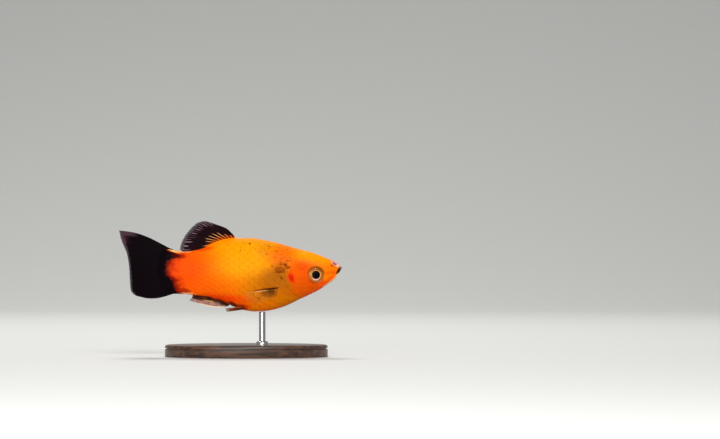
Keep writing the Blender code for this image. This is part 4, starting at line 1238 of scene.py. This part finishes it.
def on_skin(v):
    """0 below a fin's root and 1 from just above it, for a fin whose last rays lie on the skin."""
    return fade(v, -0.06, 0.02)


def ripple(u, v, height, waves, drift, growth=1.5):
    """Soft waves across a fin, which grow towards its tips and drift along its rays."""
    return height * np.sin(2 * math.pi * (waves * u + drift * v)) * np.clip(v, 0, 1) ** growth


def dorsal_centre(u, v):
    """The dorsal fin's middle surface. Its last rays lie along the back."""
    s = DORSAL_FROM + (DORSAL_TO - DORSAL_FROM) * u
    run = DORSAL_LENGTH(u) * v
    angle = DORSAL_FIRST_ANGLE + (DORSAL_LAST_ANGLE - DORSAL_FIRST_ANGLE) * u + DORSAL_CURL * v / 2
    reach = s + run * np.cos(angle)
    height = back(s) + ROOT_GAP + run * np.sin(angle) - sink(v)
    height = height - DORSAL_SAG * u**4 * np.sin(math.pi * np.clip(v, 0, 1))
    lying = fade(u, 0.78, 1.0) * on_skin(v) * (1 - 0.8 * fade(v, 0.85, 1.0))
    height = height + (back(reach) + LYING_GAP - height) * lying
    return fin_point(reach, ripple(u, v, 0.1 * MM, 1.6, 0.3), height)


def tail_centre(u, v):
    """The tail fin's middle surface, bent to the fish's left."""
    root_height = TAIL_ROOT_TOP + (TAIL_ROOT_BOTTOM - TAIL_ROOT_TOP) * u
    root_s = tail_root_line(root_height) + ROOT_GAP
    bulge = TAIL_TOP_BULGE * (1 - u) ** 3 - TAIL_BOTTOM_BULGE * u**3
    s = root_s + (TAIL_TIPS_BACK(u) - root_s) * v
    height = root_height + (TAIL_TIPS_HEIGHT(u) - root_height) * v
    height = height + bulge * np.sin(math.pi * np.clip(v, 0, 1) ** TAIL_BULGE_SKEW)
    stroke = swing(SWING_TO) + (s - SWING_TO) * 2 * TAIL_SWING / (SWING_TO - SWING_FROM)
    side = stroke + TAIL_CURL * v * np.abs(v) * (0.4 + 0.6 * u) + ripple(u, v, 0.12 * MM, 1.7, 0.25)
    return np.stack([SNOUT_X - s, side, AXIS_Z + height], -1)


def anal_centre(u, v):
    """The anal fin's middle surface, folded up against the belly."""
    s = ANAL_FROM + (ANAL_TO - ANAL_FROM) * u
    tip_s, tip_height = between((ANAL_FIRST_TIP, ANAL_LAST_TIP), u)
    root_height = belly(s) - ROOT_GAP
    height = root_height + (tip_height - root_height) * v
    height = height - ANAL_BULGE * (1 - u) ** 1.3 * np.sin(math.pi * np.clip(v, 0, 1) ** 0.7) + sink(v)
    reach = s + (tip_s - s) * v
    height = height + (belly(reach) - LYING_GAP - height) * fade(u, 0.6, 1.0) * on_skin(v)
    return fin_point(reach, ripple(u, v, 0.07 * MM, 1.3, 0.4, growth=1), height)


def ray_point(root, tip, bend, v):
    """Points along rays of the left side that leave the skin square to it, turn, and run to their tips."""
    s, height = root
    angle = angle_at(s, height)
    normal = body_normal(s, angle)
    start = body_point(s, angle) + normal * ROOT_GAP
    towards = tip - start - normal * bend
    reach = np.linalg.norm(towards, axis=-1, keepdims=True)
    towards = towards / reach
    turn = np.arccos(np.sum(normal * towards, -1, keepdims=True))
    across = (towards - normal * np.cos(turn)) / np.sin(turn)
    travel = v[..., None] * (bend * turn + reach)
    turned_by = np.minimum(travel / bend, turn)
    curve = start + bend * (np.sin(turned_by) * normal + (1 - np.cos(turned_by)) * across)
    return curve + np.maximum(0.0, travel - bend * turn) * towards


def pectoral_centre(u, v):
    """The left pectoral fin's middle surface, held half open."""
    root = between(PECTORAL_ROOTS, u)
    tip_s = PECTORAL_BACK(u)
    side = np.abs(body_point(root[0], angle_at(*root))[..., 1])
    out = math.tan(PECTORAL_ANGLE) * (tip_s - root[0]) * (1 - 0.25 * u)
    tip = fin_point(tip_s, side + ROOT_GAP + PECTORAL_BEND + out, PECTORAL_DOWN(u))
    return ray_point(root, tip, PECTORAL_BEND, v)


def pelvic_centre(u, v):
    """The left pelvic fin's middle surface."""
    tip_s, tip_height = between(PELVIC_TIPS, u)
    tip = fin_point(tip_s, np.full(np.shape(u), PELVIC_TIP_SIDE), tip_height)
    return ray_point(between(PELVIC_ROOTS, u), tip, PELVIC_BEND, v)


# Each fin's sheet: its middle surface by place across (u) and along (v, 0 at the root and 1 at the tips), its
# rays, its rows of points, how deep it goes into the body, how its rows crowd towards the root, and how far
# the membrane stops short of the rays' tips
DORSAL_SHEET = {"centre": dorsal_centre, "rays": DORSAL_RAYS, "rows": 84, "into": 0.07, "fringe": 0.015}
TAIL_SHEET = {"centre": tail_centre, "rays": TAIL_RAYS, "rows": 110, "fringe": 0.006}
ANAL_SHEET = {"centre": anal_centre, "rays": ANAL_RAYS, "rows": 64}
PECTORAL_SHEET = {"centre": pectoral_centre, "rays": PECTORAL_RAYS, "rows": 72, "crowding": 1.3,
                  "fringe": 0.03}
PELVIC_SHEET = {"centre": pelvic_centre, "rays": PELVIC_RAYS, "rows": 60, "crowding": 1.2, "fringe": 0.05}


def from_nearest_ray(u, rays):
    """Each point's nearest ray, and how far it is from it in steps between rays."""
    position = u * (rays - 1)
    nearest = np.round(position)
    return nearest, position - nearest


def ray_ridge(u, v, rays):
    """1 on a ray and 0 between rays. Each ray forks once, and each fork again near its tip."""
    nearest, off = from_nearest_ray(u, rays)
    forks = (nearest > 0.5) & (nearest < rays - 1.5)
    first = FORK_SPREAD * np.clip((v - FORK_AT) / (1 - FORK_AT), 0, 1) ** 0.8 * forks
    second = SECOND_FORK_SPREAD * np.clip((v - SECOND_FORK_AT) / (1 - SECOND_FORK_AT), 0, 1) * forks
    width = RAY_WIDTH - RAY_TAPER * np.clip(v, 0, 1)
    return np.maximum.reduce([swell(off - a * first - b * second, width) for a in (-1, 1) for b in (-1, 1)])


def make_fin(settings, name, material, centre, rays, rows, side=1, into=0.06, crowding=1.0, fringe=0.02):
    """A fin as one thin closed sheet. Its membrane stops a little short of the tips between the rays."""
    columns = (rays - 1) * settings.columns + 1
    u, v = np.meshgrid(np.linspace(0, 1, columns), -into + (1 + into) * np.linspace(0, 1, rows) ** crowding)
    ridge = ray_ridge(u, v, rays)
    reach = np.where(v > 0, v * (1 - fringe * (1 - ridge) * np.clip(v, 0, 1) ** 8), v)
    middle = centre(u, reach)
    middle[..., 1] *= side
    normal = unit(np.cross(np.gradient(middle, axis=0), np.gradient(middle, axis=1)))
    thin = 1 - FIN_THINNING * np.clip(v, 0, 1)
    half = (settings.membrane * thin + settings.ray * ridge * thin**1.3)[..., None]
    points = np.stack([middle + normal * half, middle - normal * half])
    piece = mesh_object(name, points, slab_faces(rows, columns), material)
    line = swell(from_nearest_ray(u, rays)[1], LINE_WIDTH)
    both = {"across": u, "along": v, "ray": ridge, "line": line, "travel": run_along(middle) / MM}
    add_values(piece, **{key: np.stack([value, value]) for key, value in both.items()})
    return piece


def make_fin_pair(settings, node, slot, material, sheet):
    """A pair of fins, one a mirror of the other, in place of their two solids."""
    for word, side in SIDES:
        fin = make_fin(settings, node + "_sheet_" + word, material, side=side, **sheet)
        belongs(fin, slot, node + "_" + word)


def fin_relief(f, settings, strength=0.5):
    """The joints of the rays, and fine wrinkles in the membrane between them."""
    joint = f.maths("SINE", f.times(f.value("travel"), 2 * math.pi * MM / settings.joint))
    joints = f.times(f.fade(joint, 0.5, 0.95), f.value("ray"))
    wrinkles = f.times(f.noise(0.3 * MM, 3.0), 0.6)
    return f.bump(f.maths("SUBTRACT", wrinkles, joints), 0.02 * MM, strength)


ROOT_ORANGE = (1.0, 0.3, 0.02)


def dorsal_material(settings):
    """Black, with bright ray roots in front, thin pale streaks on the branches, and a smoky rim."""
    f = Finish("dorsal_fin_black", Roughness=0.55, Specular_IOR_Level=0.03)
    u, v, line = f.value("across"), f.value("along"), f.value("line")
    ragged = f.maths("ADD", v, f.wander(0.9 * MM, 0.3))
    ends = f.maths("ADD", f.fade(u, 0.06, 0.42, 0.24), f.fade(u, 0.8, 0.64, 0.1))
    before = f.maths("SUBTRACT", ends, f.linear(ragged, 0.4, f.times(v, 0.6)))
    amber = f.times(f.fade(line, 0.56, 0.9), f.fade(before, -0.04, 0.08), f.fade(u, 0.92, 0.86))
    streak = f.times(branch_streaks(f, u, v, DORSAL_RAYS), f.fade(u, 0.14, 0.2))
    rim = f.times(f.fade(f.linear(ragged, 0.3, f.times(v, 0.7)), 0.84, 0.93), f.fade(u, 0.08, 0.25))
    thin = f.linear(f.fade(v, 0.92, 1.0), 0.4, 0.1)
    tone = f.mix(f.times(f.noise(1.2 * MM), 0.4), settings.black, settings.maroon)
    tone = f.mix(f.times(f.fade(v, 0.2, 0.02), f.fade(u, 0.95, 0.75)), tone, settings.rust)
    tone = f.mix(rim, tone, settings.clear)
    tone = f.mix(streak, tone, settings.pale)
    tone = f.mix(amber, tone, f.mix(f.fade(v, 0.0, 0.2), ROOT_ORANGE, settings.amber))
    f.set(Base_Color=tone, Alpha=f.opposite(f.times(rim, thin)), Normal=fin_relief(f, settings))
    return f.material


def branch_streaks(f, u, v, rays):
    """Thin lines on the two branches of each ray, each of its own length and strength."""
    position = f.linear(u, float(rays - 1), f.wander(0.7 * MM, 0.16))
    off = f.maths("ABSOLUTE", f.maths("SUBTRACT", position, f.maths("ROUND", position)))
    opened = f.add("ShaderNodeMapRange", {"Value": v, "From Min": 0.35, "From Max": 0.7, "To Max": 0.25})
    beside = f.maths("ABSOLUTE", f.maths("SUBTRACT", off, opened.outputs[0]))
    thin = f.fade(f.maths("ADD", beside, f.fade(v, 0.82, 0.55, 0.05)), 0.09, 0.03)
    number = f.maths("FLOOR", f.times(position, 2.0))
    chance = f.add("ShaderNodeTexWhiteNoise", {"W": number}, noise_dimensions="1D").outputs["Color"]
    first, second, third = f.add("ShaderNodeSeparateColor", {0: chance}).outputs
    begins = f.fade(f.linear(first, -0.2, v), 0.52, 0.62)
    stops = f.fade(f.linear(second, -0.1, v), 0.86, 0.8)
    return f.times(thin, begins, stops, f.fade(third, -0.3, 0.8))


TAIL_STAIN = (0.042, 0.008, 0.014)


def tail_material(settings):
    """Black, with a mauve upper corner over a maroon stain, and a thin smoky rim behind and below."""
    f = Finish("tail_fin_black", Roughness=0.55, Specular_IOR_Level=0.03)
    u, v = f.value("across"), f.value("along")
    reach = f.maths("ADD", v, f.wander(1.0 * MM, 0.08, 3.0))
    top = f.times(f.fade(u, 0.06, 0.025), f.fade(reach, 0.6, 0.8))
    rear = f.fade(f.maths("SUBTRACT", reach, f.fade(u, 0.04, 0.3, 0.04)), 0.885, 0.925)
    lower = f.times(f.fade(u, 0.975, 1.0), f.fade(v, 0.3, 0.6))
    rim = f.most(top, rear, lower)
    stain = f.times(f.fade(u, 0.17, 0.06), f.fade(reach, 0.78, 0.93))
    tone = f.mix(f.times(f.noise(1.6 * MM), 0.12), settings.black, dimmed(settings.maroon, 0.3))
    tone = f.mix(stain, tone, TAIL_STAIN)
    tone = f.mix(rim, tone, f.mix(f.fade(u, 0.4, 0.15), dimmed(settings.clear, 0.6), settings.corner))
    thin = f.linear(f.fade(v, 0.95, 1.0), 0.3, 0.06)
    f.set(Base_Color=tone, Alpha=f.opposite(f.times(rim, thin)), Normal=fin_relief(f, settings, 0.2))
    return f.material


ANAL_TIPS = (0.3, 0.24, 0.25)
ANAL_BLACK, ANAL_BROWN = (0.02, 0.004, 0.002), (0.065, 0.016, 0.004)
ANAL_GOLD = (0.75, 0.42, 0.16)


def anal_material(settings):
    """Dark against the belly, then pale streaks, and a bright leading edge."""
    f = Finish("anal_fin_pale", Roughness=0.5, Specular_IOR_Level=0.04)
    u, v, on_ray = f.value("across"), f.value("along"), f.fade(f.value("ray"), 0.35, 0.8)
    cloud = f.fade(f.noise(0.8 * MM, 3.0), 0.4, 0.6)
    along_rays = f.flat(f.times(u, 15.0), f.times(v, 2.4))
    streaks = f.fade(f.noise(1.0, 2.0, along_rays), 0.36, 0.64)
    light = f.times(f.fade(u, 0.62, 0.4), f.linear(cloud, 0.45, 0.55), f.fade(v, 0.02, 0.2))
    light = f.most(light, f.times(f.fade(v, 0.82, 0.95), f.fade(u, 0.7, 0.4)))
    gold = f.times(f.plateau(u, 0.5, 0.56, 0.62, 0.68), f.plateau(v, 0.18, 0.3, 0.5, 0.66), 0.7)
    pink = f.mix(f.times(streaks, f.linear(on_ray, 0.5, 0.5)), dimmed(settings.flesh, 0.4),
                 dimmed(settings.flesh, 1.15))
    pink = f.mix(f.fade(v, 0.84, 0.96), pink, ANAL_TIPS)
    tone = f.mix(light, f.mix(cloud, ANAL_BLACK, ANAL_BROWN), pink)
    tone = f.mix(gold, tone, ANAL_GOLD)
    edge = f.times(f.fade(u, 0.14, 0.05), f.plateau(v, 0.03, 0.12, 0.66, 0.92), f.linear(streaks, 0.5, 0.5))
    tone = f.mix(edge, tone, settings.bright)
    clear = f.times(light, f.fade(u, 0.05, 0.2), f.linear(on_ray, -0.25, 0.28))
    f.set(Base_Color=tone, Alpha=f.opposite(clear), Normal=fin_relief(f, settings))
    return f.material


PELVIC_DARK, PELVIC_BROWN = (0.11, 0.012, 0.0), (0.2, 0.06, 0.01)
PELVIC_EDGE, PELVIC_ROOT = (0.5, 0.11, 0.05), (0.5, 0.04, 0.0)


def pelvic_material(settings):
    """Dark red to black, with pale rays near the end and a soft clear end."""
    f = Finish("pelvic_fin_dark", Roughness=0.5, Specular_IOR_Level=0.06)
    u, v, on_ray = f.value("across"), f.value("along"), f.fade(f.value("line"), 0.4, 0.85)
    tone = f.mix(f.fade(v, 0.45, 0.9), PELVIC_DARK, PELVIC_BROWN)
    edge = f.times(f.fade(u, 0.7, 0.9), f.fade(v, 0.1, 0.25), 0.75)
    tone = f.mix(edge, tone, PELVIC_EDGE)
    tone = f.mix(f.times(on_ray, f.fade(v, 0.55, 0.8), 0.4), tone, settings.flesh)
    tone = f.mix(f.fade(v, 0.14, -0.02), tone, PELVIC_ROOT)
    clear = f.times(f.fade(v, 0.6, 1.0), f.linear(on_ray, -0.3, 0.8))
    f.set(Base_Color=tone, Alpha=f.opposite(clear), Normal=fin_relief(f, settings))
    return f.material


PECTORAL_PALE = (0.8, 0.42, 0.18)
PECTORAL_DARK, PECTORAL_BROWN = (0.08, 0.003, 0.0), (0.26, 0.05, 0.004)


def pectoral_material(settings):
    """Clear as glass between thin rays, with a dark line along the upper ray and a pale one below it."""
    f = Finish("pectoral_fin_clear", Roughness=0.5, Specular_IOR_Level=0.02)
    u, v = f.value("across"), f.value("along")
    on_ray = f.times(f.fade(f.value("ray"), 0.35, 0.85), f.fade(u, 0.99, 0.92))
    far = f.fade(v, 0.3, 0.6)
    upper = f.times(f.fade(f.linear(v, 0.15, u), 0.2, 0.16), f.plateau(v, -0.02, 0.12, 0.7, 0.98))
    second = f.times(f.plateau(u, 0.1, 0.13, 0.17, 0.2), f.plateau(v, 0.3, 0.4, 0.6, 0.75))
    tone = f.mix(on_ray, settings.glass, dimmed(settings.glass, 0.6))
    tone = f.mix(second, tone, PECTORAL_PALE)
    tone = f.mix(upper, tone, f.mix(far, PECTORAL_DARK, PECTORAL_BROWN))
    thin_rays = f.linear(f.times(on_ray, f.fade(v, 0.05, 0.4)), 0.1, 0.02)
    solid = f.most(thin_rays, f.times(upper, f.linear(far, -0.3, 0.9)), f.times(second, 0.7))
    f.set(Base_Color=tone, Alpha=solid, Normal=fin_relief(f, settings, 0.3))
    return f.material


# Stand

BASE_SEGMENTS, ROD_SEGMENTS = 160, 64
SHARP_ANGLE = math.radians(50)
BASE_EDGE, BASE_BEAD = 0.55 * MM, 0.22 * MM


def wood_material(settings):
    """Dark wood with long grain, fine pores and a satin lacquer."""
    f = Finish("dark_wood", Coat_Weight=0.35, Coat_Roughness=0.22)
    stretched = f.add("ShaderNodeMapping", {"Vector": f.place(), "Scale": (0.06, 1.0, 1.0)}).outputs[0]
    grain = f.noise(0.8 * MM, 6.0, stretched)
    fine = f.noise(0.14 * MM, 3.0, stretched)
    tone = f.mix(f.fade(grain, 0.35, 0.65), settings.wood_dark, settings.wood)
    tone = f.mix(f.fade(fine, 0.55, 0.75, 0.5), tone, settings.wood_dark)
    f.set(Base_Color=tone, Roughness=f.linear(grain, 0.2, 0.32))
    f.set(Normal=f.bump(f.maths("ADD", grain, f.times(fine, 0.5)), 0.03 * MM, 0.35))
    return f.material


def steel_material(settings):
    """Turned steel, with faint rings round the rod."""
    f = Finish("turned_steel", Metallic=1.0, Base_Color=settings.steel)
    squeezed = f.add("ShaderNodeMapping", {"Vector": f.place(), "Scale": (0.05, 0.05, 1.0)}).outputs[0]
    rings = f.noise(0.05 * MM, 2.0, squeezed)
    f.set(Roughness=f.linear(rings, 0.16, 0.16), Normal=f.bump(rings, 0.005 * MM, 0.3))
    return f.material


def lathe(name, profile, segments, centre_x, stretch, material):
    """Turns (radius, height) pairs about an upright axis, closed at both ends and stretched along X."""
    turns = np.linspace(0, 2 * math.pi, segments, endpoint=False)
    points = np.array([[(centre_x + r * stretch * math.cos(t), r * math.sin(t), z) for t in turns]
                       for r, z in profile])
    faces = [face[::-1] for face in ring_faces(len(profile), segments)]
    faces.append(tuple(range(segments))[::-1])
    faces.append(tuple((len(profile) - 1) * segments + i for i in range(segments)))
    piece = mesh_object(name, points, faces, material)
    piece.data.set_sharp_from_angle(angle=SHARP_ANGLE)
    return piece


def base_profile(half_width, height):
    """Half section of the base: foot line, straight side, bead round the shoulder and soft top edge."""
    shoulder, bead = height - BASE_EDGE, BASE_BEAD
    profile = [(half_width - 0.3 * MM, 0.0), (half_width - 0.12 * MM, 0.0), (half_width, 0.14 * MM),
               (half_width, shoulder - 2.6 * bead), (half_width - bead, shoulder - 2.2 * bead),
               (half_width - bead, shoulder - 1.2 * bead), (half_width, shoulder - 0.8 * bead),
               (half_width, shoulder)]
    return profile + [(half_width - BASE_EDGE * (1 - math.cos(t)), shoulder + BASE_EDGE * math.sin(t))
                      for t in np.radians(np.arange(15, 91, 15))]


def rod_profile(settings, radius, foot, top):
    """Half section of the rod, with a rounded collar where it meets the base and a softened top."""
    wide, tall = settings.collar_radius, settings.collar_height
    return [(wide, foot - 0.3 * MM), (wide, foot + tall * 0.55), (wide * 0.93, foot + tall * 0.75),
            (wide * 0.75, foot + tall * 0.92), (radius * 1.05, foot + tall), (radius, foot + tall * 1.1),
            (radius, top), (radius * 0.96, top + 0.12 * MM), (radius * 0.8, top + 0.22 * MM)]


def make_stand(settings):
    """The oval base and the rod with its collar, from the solids' own places and sizes."""
    low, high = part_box("stand_base")
    half_length, half_width = (high.x - low.x) / 2, (high.y - low.y) / 2
    profile, middle = base_profile(half_width, high.z), (low.x + high.x) / 2
    base = lathe("display_base", profile, BASE_SEGMENTS, middle, half_length / half_width,
                 wood_material(settings))
    belongs(base, "stand_base", "stand_base")
    rod_low, rod_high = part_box("stand_rod")
    profile = rod_profile(settings, (rod_high.x - rod_low.x) / 2, high.z, rod_high.z)
    middle = (rod_low.x + rod_high.x) / 2
    rod = lathe("display_rod", profile, ROD_SEGMENTS, middle, 1.0, steel_material(settings))
    belongs(rod, "stand_rod", "stand_rod")


# Stage

# The floor in metres: front edge, where it begins to turn up, radius of the turn, top and half width
FLOOR_FRONT, FLOOR_TURN, FLOOR_RADIUS, FLOOR_TOP, FLOOR_HALF_WIDTH = -1.2, 0.45, 0.35, 1.3, 1.6
# Lights: name, place, diameter, and the setting that holds the power
LIGHTS = [
    ("key_light", (0.1, -0.5, 0.38), 0.3, "key"),
    ("rim_light", (-0.05, 0.3, 0.5), 0.25, "rim"),
    ("fill_light", (-0.12, -0.52, 0.05), 0.34, "fill"),
]
CAMERA_NEAR = 0.01


def make_floor(settings):
    """A pale floor that runs up into a backdrop in one curve."""
    line = [(FLOOR_FRONT, 0.0), (FLOOR_TURN, 0.0)]
    line += [(FLOOR_TURN + FLOOR_RADIUS * math.sin(t), FLOOR_RADIUS * (1 - math.cos(t)))
             for t in np.radians(np.arange(6, 91, 6))]
    line.append((FLOOR_TURN + FLOOR_RADIUS, FLOOR_TOP))
    points = np.array([[(x, y, z) for x in (-FLOOR_HALF_WIDTH, FLOOR_HALF_WIDTH)] for y, z in line])
    faces = [(2 * i, 2 * i + 1, 2 * i + 3, 2 * i + 2) for i in range(len(line) - 1)]
    paint = Finish("floor_paint", Roughness=0.7, Base_Color=settings.floor)
    mesh_object("floor", points, faces, paint.material)


def add_light(name, place, size, power):
    """A round soft light that is turned to the fish."""
    light = bpy.data.lights.new(name, "AREA")
    light.shape, light.size, light.energy = "DISK", size, power
    lamp = bpy.data.objects.new(name, light)
    lamp.location = place
    lamp.rotation_euler = (Vector((0.0, 0.0, AXIS_Z)) - Vector(place)).to_track_quat("-Z", "Y").to_euler()
    bpy.context.scene.collection.objects.link(lamp)


def make_stage(settings):
    """Floor, lights, sky and camera."""
    make_floor(settings)
    for name, place, size, setting in LIGHTS:
        add_light(name, place, size, getattr(settings, setting))
    world = bpy.data.worlds.new("sky")
    world.use_nodes = True
    background = world.node_tree.nodes["Background"]
    background.inputs["Color"].default_value = (1.0, 1.0, 1.0, 1.0)
    background.inputs["Strength"].default_value = settings.sky
    scene = bpy.context.scene
    scene.world = world
    scene.view_settings.view_transform = "Standard"
    camera = bpy.data.objects.new("camera", bpy.data.cameras.new("camera"))
    camera.data.lens = settings.lens
    camera.data.clip_start = CAMERA_NEAR
    camera.location = (settings.aim_x, -settings.distance, settings.aim_z)
    camera.rotation_euler = (math.pi / 2, 0.0, 0.0)
    scene.collection.objects.link(camera)
    scene.camera = camera


# Operators, one for each piece or group of pieces

class PLATY_OT_skin(Operator):
    """Builds the skin with its markings, mouth, nostrils and gill cover edges"""

    bl_idname = "platy.make_skin"
    bl_label = "Make Skin"

    def execute(self, context):
        settings = context.scene.platy_skin
        make_skin(settings, skin_material(settings, markings_group(settings)))
        return {"FINISHED"}


class PLATY_OT_scales(Operator):
    """Lays the scales over the trunk, nape and tail stock"""

    bl_idname = "platy.make_scales"
    bl_label = "Make Scales"

    def execute(self, context):
        scene = context.scene
        markings = bpy.data.node_groups["platy_markings"]
        make_scales(scene.platy_scales, scene.platy_skin, scale_material(markings))
        return {"FINISHED"}


class PLATY_OT_eyes(Operator):
    """Builds both eyes, each with its iris, lens and cornea"""

    bl_idname = "platy.make_eyes"
    bl_label = "Make Eyes"

    def execute(self, context):
        settings = context.scene.platy_eyes
        finishes = (iris_material(settings), cornea_material())
        for word, side in SIDES:
            make_eye(settings, word, side, finishes)
        return {"FINISHED"}


class PLATY_OT_dorsal_fin(Operator):
    """Builds the dorsal fin"""

    bl_idname = "platy.make_dorsal_fin"
    bl_label = "Make Dorsal Fin"

    def execute(self, context):
        settings = context.scene.platy_fins
        fin = make_fin(settings, "dorsal_fin_sheet", dorsal_material(settings), **DORSAL_SHEET)
        belongs(fin, "black_fin", "dorsal_fin")
        return {"FINISHED"}


class PLATY_OT_tail_fin(Operator):
    """Builds the tail fin"""

    bl_idname = "platy.make_tail_fin"
    bl_label = "Make Tail Fin"

    def execute(self, context):
        settings = context.scene.platy_fins
        fin = make_fin(settings, "tail_fin_sheet", tail_material(settings), **TAIL_SHEET)
        belongs(fin, "black_fin", "caudal_fin")
        return {"FINISHED"}


class PLATY_OT_anal_fin(Operator):
    """Builds the anal fin"""

    bl_idname = "platy.make_anal_fin"
    bl_label = "Make Anal Fin"

    def execute(self, context):
        settings = context.scene.platy_fins
        fin = make_fin(settings, "anal_fin_sheet", anal_material(settings), **ANAL_SHEET)
        belongs(fin, "pale_fin", "anal_fin")
        return {"FINISHED"}


class PLATY_OT_pectoral_fins(Operator):
    """Builds both pectoral fins"""

    bl_idname = "platy.make_pectoral_fins"
    bl_label = "Make Pectoral Fins"

    def execute(self, context):
        settings = context.scene.platy_fins
        make_fin_pair(settings, "pectoral_fin", "clear_fin", pectoral_material(settings), PECTORAL_SHEET)
        return {"FINISHED"}


class PLATY_OT_pelvic_fins(Operator):
    """Builds both pelvic fins"""

    bl_idname = "platy.make_pelvic_fins"
    bl_label = "Make Pelvic Fins"

    def execute(self, context):
        settings = context.scene.platy_fins
        make_fin_pair(settings, "pelvic_fin", "pale_fin", pelvic_material(settings), PELVIC_SHEET)
        return {"FINISHED"}


class PLATY_OT_stand(Operator):
    """Builds the base and the rod of the display stand"""

    bl_idname = "platy.make_stand"
    bl_label = "Make Stand"

    def execute(self, context):
        make_stand(context.scene.platy_stand)
        return {"FINISHED"}


class PLATY_OT_stage(Operator):
    """Sets up the floor, the lights and the camera"""

    bl_idname = "platy.make_stage"
    bl_label = "Make Stage"

    def execute(self, context):
        make_stage(context.scene.platy_stage)
        return {"FINISHED"}


SETTINGS = {
    "platy_skin": PlatySkinSettings,
    "platy_scales": PlatyScaleSettings,
    "platy_eyes": PlatyEyeSettings,
    "platy_fins": PlatyFinSettings,
    "platy_stand": PlatyStandSettings,
    "platy_stage": PlatyStageSettings,
}
STEPS = [PLATY_OT_skin, PLATY_OT_scales, PLATY_OT_eyes, PLATY_OT_dorsal_fin, PLATY_OT_tail_fin,
         PLATY_OT_anal_fin, PLATY_OT_pectoral_fins, PLATY_OT_pelvic_fins, PLATY_OT_stand, PLATY_OT_stage]


class PLATY_PT_panel(Panel):
    """Lists the steps and their settings"""

    bl_label = "Wagtail Platy"
    bl_idname = "PLATY_PT_panel"
    bl_space_type = "VIEW_3D"
    bl_region_type = "UI"
    bl_category = "Platy"

    def draw(self, context):
        for step in STEPS:
            self.layout.operator(step.bl_idname)
        for name, group in SETTINGS.items():
            box = self.layout.box()
            box.label(text=name.replace("_", " ").capitalize())
            for field in group.__annotations__:
                box.prop(getattr(context.scene, name), field)


def register():
    """Adds the settings, the steps and the panel."""
    for group in SETTINGS.values():
        bpy.utils.register_class(group)
    for name, group in SETTINGS.items():
        setattr(bpy.types.Scene, name, PointerProperty(type=group))
    for step in STEPS:
        bpy.utils.register_class(step)
    bpy.utils.register_class(PLATY_PT_panel)


def unregister():
    """Takes out what register added."""
    bpy.utils.unregister_class(PLATY_PT_panel)
    for step in reversed(STEPS):
        bpy.utils.unregister_class(step)
    for name, group in reversed(SETTINGS.items()):
        delattr(bpy.types.Scene, name)
        bpy.utils.unregister_class(group)


def main():
    register()
    for step in STEPS:
        getattr(bpy.ops.platy, step.bl_idname.split(".")[1])()


if __name__ == "__main__":
    main()
